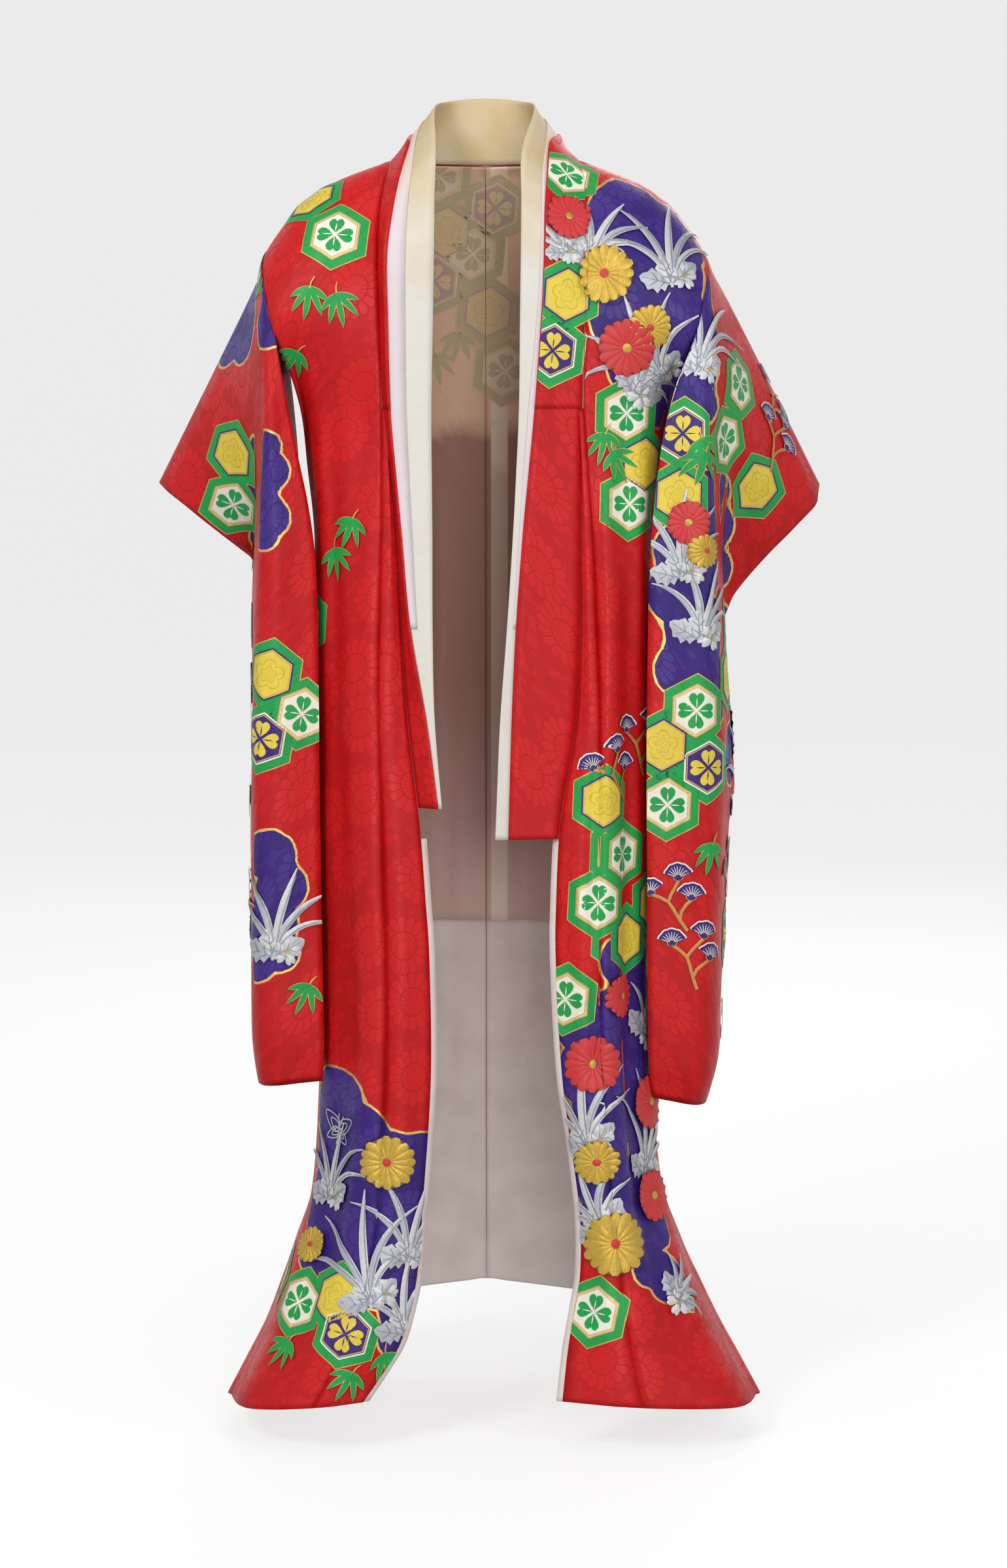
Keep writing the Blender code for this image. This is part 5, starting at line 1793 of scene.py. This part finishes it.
def leaf_parts(size, turn, shift, colour, layer):
    """A lobed leaf with its veins."""
    outline = both_halves([(x * size, z * size) for x, z in LEAF_HALF])
    points, corners = patch_shape(outline, 2, 0.9)
    parts = [(colour, layer, (turned(points, turn, shift), corners))]
    for vein in LEAF_VEINS:
        line = [(x * size, z * size) for x, z in vein]
        points, corners = ribbon_shape(line, LEAF_VEIN_HALVES, 0.2)
        parts.append(("steel_thread", layer + 5, (turned(points, turn, shift), corners)))
    return parts


def tuft_motif(height):
    """Silver grass blades with broad leaves and a blossom at their foot."""
    parts = []
    for n, (lean, bend, droop, share, half) in enumerate(TUFT_BLADES):
        path = blade_path(height * share, lean, bend, droop)
        halves = [half * width for width in tapered(1.0, BLADE_POINTS, BLUNT)]
        colour = "pale_thread" if n % 3 == 1 else "silver_thread"
        parts.append((colour, 1, ribbon_shape(path, halves, 1.0)))
        # A dark line along one side of each blade: painted shade
        shade = [(x + half * 0.5, z) for x, z in path[1:-1]]
        parts.append(("steel_thread", 5, ribbon_shape(shade, [0.7] * len(shade), 0.1)))
    for turn, size, colour in TUFT_LEAVES:
        parts += leaf_parts(size * min(1.0, height / FULL_HEIGHT), turn, (0, 4), colour, 2)
    x, z, size, turn = TUFT_BLOSSOM
    middle = (x * height, z * height)
    for colour, layer, (points, corners) in blossom_parts(size, 5, "pale_thread", 4, 0.8):
        parts.append((colour, layer, (turned(points, turn, middle), corners)))
    heart, corners = ring_shape(lambda a: size * 0.15, 1, 10)
    parts.append(("gold_thread", 6, (turned(heart, 0, middle), corners)))
    return parts


# Wings of a butterfly, turn, length and half width, the points of their edge,
# the sizes of its two lines, and its feelers and body, turn and length
WINGS = ((-58, 34, 12), (58, 34, 12), (-122, 24, 9), (122, 24, 9))
WING_POINTS = 15
WING_LINES = (1.0, 0.62)
FEELERS = ((-16, 20), (16, 20), (180, 18))
FEELER_POINTS = 6


def butterfly_motif():
    """A butterfly in silver line."""
    parts = []
    for turn, length, half in WINGS:
        edge = []
        for k in range(WING_POINTS):
            t = 2 * math.pi * k / (WING_POINTS - 1)
            edge.append((half * math.sin(t) * (0.7 + 0.3 * math.cos(t)),
                         length * (0.5 - 0.5 * math.cos(t))))
        for scale in WING_LINES:
            line = [(x * scale, z * scale) for x, z in edge]
            points, corners = ribbon_shape(line, [0.8] * WING_POINTS, 0.4)
            parts.append(("silver_thread", 1, (turned(points, turn), corners)))
    for turn, length in FEELERS:
        points, corners = ribbon_shape(curve(length, 2.0, FEELER_POINTS),
                                       [1.0] * FEELER_POINTS, 0.4)
        parts.append(("silver_thread", 1, (turned(points, turn), corners)))
    return parts


# How far, in mm, the pattern stands off the cloth, each layer of a motif above
# the one below it and each kind of motif above the hexagons; every third flower
# has the same height
PATTERN_LIFT = 0.85
LAYER_LIFT = 0.25
KIND_LIFT = {"bamboo": 1.0, "pine": 1.1, "butterfly": 1.1, "tuft": 1.2, "flower": 3.2}
FLOWER_STEP = 0.9
FLOWER_STEPS = 3

# A motif is laid on faces nearer than this share of its size, and a facet of it
# with an edge longer than this is left out
LAY_REACH = 0.9
LONGEST_FACET = 26.0


class Pattern:
    """Motifs laid on some faces of cloth, gathered by colour."""

    def __init__(self, faces, colours=None):
        self.faces = faces
        self.colours = colours or {}
        self.parts = {}

    def lay(self, spot, motif, base=0.0):
        """Lay the parts of a motif on every face that they reach."""
        middle = np.array((spot["x"], spot["z"]), dtype=float)
        points = [turned(shape[0], spot.get("turn", 0)) for _, _, shape in motif]
        reach = max(np.linalg.norm(p[:, :2], axis=1).max() for p in points)
        sizes = [len(p) for p in points]
        for face in self.faces:
            placed = face.place(spot["view"], middle, reach * LAY_REACH, np.vstack(points))
            if placed is None:
                continue
            start = 0
            for (colour, layer, (_, corners)), flat, size in zip(motif, points, sizes):
                i, j = placed[0][start:start + size], placed[1][start:start + size]
                self.keep(face, colour, base + layer * LAYER_LIFT, i, j, flat[:, 2], corners)
                start += size

    def keep(self, face, colour, base, i, j, lift, corners):
        """Keep one part, cut off straight at the face's edges."""
        last_i, last_j = face.points.shape[0] - 1, face.points.shape[1] - 1
        out = np.stack([i < 0, i > last_i, j < 0, j > last_j])
        lost = out[:, corners].all(axis=2).any(axis=0)
        if lost.all():
            return
        corners = corners[~lost]
        i, j = np.clip(i, 0, last_i), np.clip(j, 0, last_j)
        points = face.at(face.points, i, j)
        normals = unit(face.at(face.normals, i, j))
        rise = WALL / 2 + PATTERN_LIFT + base + lift
        points = points + normals * rise[:, None]
        a, b, c, d = (points[corners[:, k]] for k in range(4))
        away = np.einsum("ij,ij->i", np.cross(c - a, d - b), normals[corners[:, 2]])
        corners = np.where((away < 0)[:, None], corners[:, ::-1], corners)
        edges = points[corners] - points[np.roll(corners, 1, axis=1)]
        corners = corners[np.linalg.norm(edges, axis=2).max(axis=1) < LONGEST_FACET]
        if len(corners):
            colour = self.colours.get(colour, colour)
            self.parts.setdefault(colour, []).append((points, corners, face.at(face.cloth, i, j)))

    def pieces(self, name, finishes):
        """One piece for each colour."""
        made = []
        for colour, parts in sorted(self.parts.items()):
            points, corners, cloth = [], [], []
            count = 0
            for p, c, u in parts:
                points.append(p)
                corners.append(c + count)
                cloth.append(u)
                count += len(p)
            points = np.vstack(points)
            made.append(mesh_piece(f"{name}_{colour}", points, np.vstack(corners),
                                   np.vstack(cloth), np.zeros(len(points)), finishes[colour]))
        return made


def lay_all(pattern, hexagons, bamboo, pine, flowers, tufts, butterflies=()):
    """Lay the tables' motifs, flat ones first."""
    for row in hexagons:
        spot = dict(zip(HEXAGON_NAMES, row))
        pattern.lay(spot, hexagon_motif(spot["fill"]))
    for kind, rows, motif in (("bamboo", bamboo, bamboo_motif()), ("pine", pine, pine_motif()),
                              ("butterfly", butterflies, butterfly_motif())):
        for row in rows:
            pattern.lay(dict(zip(SPRAY_NAMES, row)), motif, KIND_LIFT[kind])
    for row in tufts:
        spot = dict(zip(TUFT_NAMES, row))
        pattern.lay(spot, tuft_motif(spot["height"]), KIND_LIFT["tuft"])
    for n, row in enumerate(flowers):
        spot = dict(zip(FLOWER_NAMES, row))
        pattern.lay(spot, flower_motif(spot["size"], *FLOWER_THREADS[spot["kind"]]),
                    KIND_LIFT["flower"] + FLOWER_STEP * (n % FLOWER_STEPS))


def sheet_of(piece, node):
    """Make a piece stand for its solid: attach it to the root and hide the solid."""
    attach(piece, "root")
    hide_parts(node)


def build_side(side, finishes):
    """Panels, sleeve and linings of one side."""
    faces, starts = side_faces(side)
    crease_faces(faces, starts)
    body = cloth_piece(f"panel_{side}", [faces["front"], faces["back"]], BODY_LOBES,
                       finishes["silk_red"], WALL)
    sheet_of(body, f"body_{side}")
    overlap = cloth_piece(f"front_overlap_{side}", [faces["overlap"]], BODY_LOBES,
                          finishes["silk_red"], WALL)
    sheet_of(overlap, f"overlap_{side}")
    sleeve = cloth_piece(f"long_sleeve_{side}", [faces["sleeve_front"], faces["sleeve_back"]],
                         SLEEVE_LOBES, finishes["silk_red"], WALL)
    sheet_of(sleeve, f"sleeve_{side}")
    build_linings(side, faces, starts, finishes)
    return faces


# How far the lining shows past the front edge, in mm
LINING_SHOWS = 8.0

# Steps of the collars' grid, and its table columns at the edges of the red, the
# accent and the cream collar
COLLAR_ROW_STEP = 8.0
COLLAR_COLUMN_STEP = 6.0
RED_EDGE, ACCENT_EDGE, CREAM_EDGE = 3, 4, 5


def widened(face, reach):
    """A face run on past its first column."""
    points = face.points
    edge = points[:, :1] + unit(points[:, :1] - points[:, 1:2]) * reach
    wider = Face(np.concatenate([edge, points], axis=1), face.outward)
    wider.cloth = wider.cloth + face.cloth[:1, :1] - np.array((reach, 0.0))
    return wider


def build_linings(side, faces, starts, finishes):
    """Linings of one side, just inside its panels."""
    depth = (WALL + LINING_WALL) / 2 + LAYER_GAP
    join = starts["lining_join"]
    upper = faces["back"].part(slice(0, join + 1), slice(0, starts["armhole"] + 1), depth, True)
    piece = cloth_piece(f"upper_lining_{side}", [upper], (), finishes["lining_rose"], LINING_WALL)
    sheet_of(piece, f"lining_upper_{side}")
    lower = [faces["back"].part(slice(join, None), slice(None), depth, True),
             faces["front"].part(slice(join, None), slice(None), depth, True),
             widened(faces["overlap"].part(slice(starts["collar_foot"] - starts["chest"], None),
                                           slice(None), depth, True), LINING_SHOWS)]
    piece = cloth_piece(f"lower_lining_{side}", lower, (), finishes["lining_pale"], LINING_WALL)
    sheet_of(piece, f"lining_lower_{side}")
    inner = faces["sleeve_back"].part(slice(starts["sleeve_seam"] + 2, starts["sleeve_lining_end"]),
                                      slice(0, starts["fold"] + 1), depth, True)
    piece = cloth_piece(f"inner_sleeve_{side}", [inner], (), finishes["lining_pale"], LINING_WALL)
    sheet_of(piece, f"sleeve_lining_{side}")
    faces["upper_lining"] = upper


def build_collars(finishes):
    """The collars, layered on one surface round the neck."""
    stations = collar_stations()
    grid = collar_grid()
    rows = cuts_for(grid, COLLAR_ROW_STEP, 0)
    columns = [max(2, count) for count in cuts_for(grid, COLLAR_COLUMN_STEP, 1)]
    base = Face(fine(ringed(grid), rows, columns), 1)
    step = (COLLAR_WALL + LINING_WALL) / 2 + LAYER_GAP
    edge = [0] + list(np.cumsum(columns))
    runs = {"accent": rows_between(stations, rows, ACCENT_END),
            "over": rows_between(stations, rows, OVER_COLLAR_END)}
    everything = slice(None)
    outer = base.part(everything, slice(0, edge[RED_EDGE] + 1), 0.0, True)
    over = base.part(runs["over"], slice(0, edge[RED_EDGE] + 1), step, True)
    accent = base.part(runs["accent"], slice(0, edge[ACCENT_EDGE] + 1), -step, True)
    inner = base.part(everything, slice(0, edge[CREAM_EDGE] + 1), -2 * step, True)
    rows_of = (
        ("red_collar", "collar", "silk_red", outer, COLLAR_WALL, (0.055, 2.0)),
        ("pattern_collar", "over_collar", "silk_red", over, LINING_WALL, (0.045, 0.88)),
        ("pink_collar", "accent_collar", "collar_pink", accent, LINING_WALL, (0.075, 1.44)),
        ("cream_collar", "inner_collar", "collar_cream", inner, COLLAR_WALL, (0.095, 2.0)),
    )
    for name, node, slot, face, thickness, flat in rows_of:
        piece = cloth_piece(name, [face], BODY_LOBES if slot == "silk_red" else (),
                            finishes[slot], thickness)
        sheet_of(piece, node)
    return over


def rows_between(stations, cuts, height):
    """Fine rows of the collar that lie above a height."""
    above = [i for i, station in enumerate(stations) if station[1] >= height]
    return slice(sum(cuts[:above[0]]), sum(cuts[:above[-1]]) + 1)


def build_pattern(sides, over_collar, finishes):
    """Dyed and embroidered motifs on the silk, and their painted light through the lining."""
    body = Pattern([sides[side][name] for side in SIDES for name in ("front", "back", "overlap")]
                   + [over_collar])
    lay_all(body, BODY_HEXAGONS, BODY_BAMBOO, BODY_PINE, BODY_FLOWERS, BODY_TUFTS, BODY_BUTTERFLIES)
    sleeves = Pattern([sides[side][name] for side in SIDES
                       for name in ("sleeve_front", "sleeve_back")])
    lay_all(sleeves, SLEEVE_HEXAGONS, SLEEVE_BAMBOO, SLEEVE_PINE, SLEEVE_FLOWERS, SLEEVE_TUFTS)
    linings = Pattern([sides[side]["upper_lining"] for side in SIDES], GHOSTS)
    lay_all(linings, LIT_THROUGH_HEXAGONS, LIT_THROUGH_BAMBOO, (), (), ())
    for pattern, name, slot in ((body, "body_pattern", "silk_red"),
                                (sleeves, "sleeve_pattern", "silk_red"),
                                (linings, "lining_painted_light", "lining_rose")):
        for piece in pattern.pieces(name, finishes):
            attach(piece, "root")


def build_camera():
    """Camera in front of the garment, tilted down a little."""
    camera = bpy.data.cameras.new("camera")
    camera.lens = CAMERA_LENS
    camera.sensor_fit = "VERTICAL"
    camera.sensor_height = SENSOR_HEIGHT
    camera.clip_end = CLIP_END
    stand = bpy.data.objects.new("camera", camera)
    stand.location = CAMERA_PLACE
    stand.rotation_euler = (math.radians(90 - CAMERA_TILT), 0, 0)
    bpy.context.scene.collection.objects.link(stand)
    bpy.context.scene.camera = stand


# Soft lights: name, place, size and power
LIGHT_NAMES = ("name", "place", "size", "power")
LIGHTS = (
    ("key", (-2.4, -3.2, 2.4), 1.6, 100),
    ("front", (0.5, -4.4, 0.1), 1.6, 58),
    ("fill", (2.8, -3.2, 1.2), 2.6, 44),
    ("top", (0.0, -0.6, 3.2), 2.2, 22),
    ("back", (0.6, 3.4, 1.2), 2.4, 44),
)
TARGET = (0.0, 0.0, -0.75)
WORLD_STRENGTH = 0.40

# The pale round floor in metres: its height, the flat middle, the wall's place
# and top, the bend between them, the steps of the bend and the steps around
FLOOR = -1.545
FLOOR_MIDDLE = 2.0
WALL_PLACE = 9.0
WALL_TOP = 6.0
BEND = 2.0
BEND_STEPS = 12
AROUND = 96
FLOOR_GREY = (0.30, 0.30, 0.30, 1)
FLOOR_GLOW = 0.66
WHITE = (1, 1, 1, 1)


def build_lights():
    """Soft lights, all turned to the garment, and a pale surround."""
    for row in LIGHTS:
        values = dict(zip(LIGHT_NAMES, row))
        light = bpy.data.lights.new(values["name"], "AREA")
        light.shape = "DISK"
        light.size = values["size"]
        light.energy = values["power"]
        stand = bpy.data.objects.new(values["name"], light)
        stand.location = values["place"]
        way = Vector(TARGET) - Vector(values["place"])
        stand.rotation_euler = way.to_track_quat("-Z", "Y").to_euler()
        stand.visible_camera = False
        bpy.context.scene.collection.objects.link(stand)
    world = bpy.data.worlds.new("studio")
    world.use_nodes = True
    sky = world.node_tree.nodes["Background"]
    sky.inputs["Color"].default_value = WHITE
    sky.inputs["Strength"].default_value = WORLD_STRENGTH
    bpy.context.scene.world = world
    bpy.context.scene.view_settings.view_transform = "Standard"


def build_floor():
    """Pale round floor that rises to a low wall all round."""
    profile = [(0.0, FLOOR), (FLOOR_MIDDLE, FLOOR), (WALL_PLACE - BEND, FLOOR)]
    for k in range(1, BEND_STEPS + 1):
        angle = math.pi / 2 * k / BEND_STEPS
        profile.append((WALL_PLACE - BEND + BEND * math.sin(angle),
                        FLOOR + BEND - BEND * math.cos(angle)))
    profile.append((WALL_PLACE, WALL_TOP))
    turns = [2 * math.pi * k / AROUND for k in range(AROUND)]
    points = [(r * math.cos(turn), r * math.sin(turn), z) for r, z in profile for turn in turns]
    corners = ring_corners(len(profile) - 1, AROUND)[:, ::-1]
    mesh = bpy.data.meshes.new("floor")
    mesh.from_pydata(points, [], corners.tolist())
    mesh.shade_smooth()
    finish = Finish("pale_floor", Roughness=0.9, Emission_Strength=FLOOR_GLOW)
    finish.give("Base Color", FLOOR_GREY)
    finish.give("Emission Color", WHITE)
    mesh.materials.append(finish.material)
    floor = bpy.data.objects.new("floor", mesh)
    bpy.context.scene.collection.objects.link(floor)
    floor.visible_diffuse = False


def main():
    """Dress every solid and set the studio."""
    finishes = all_finishes()
    sides = {side: build_side(side, finishes) for side in SIDES}
    over_collar = build_collars(finishes)
    build_pattern(sides, over_collar, finishes)
    build_floor()
    build_lights()
    build_camera()


main()
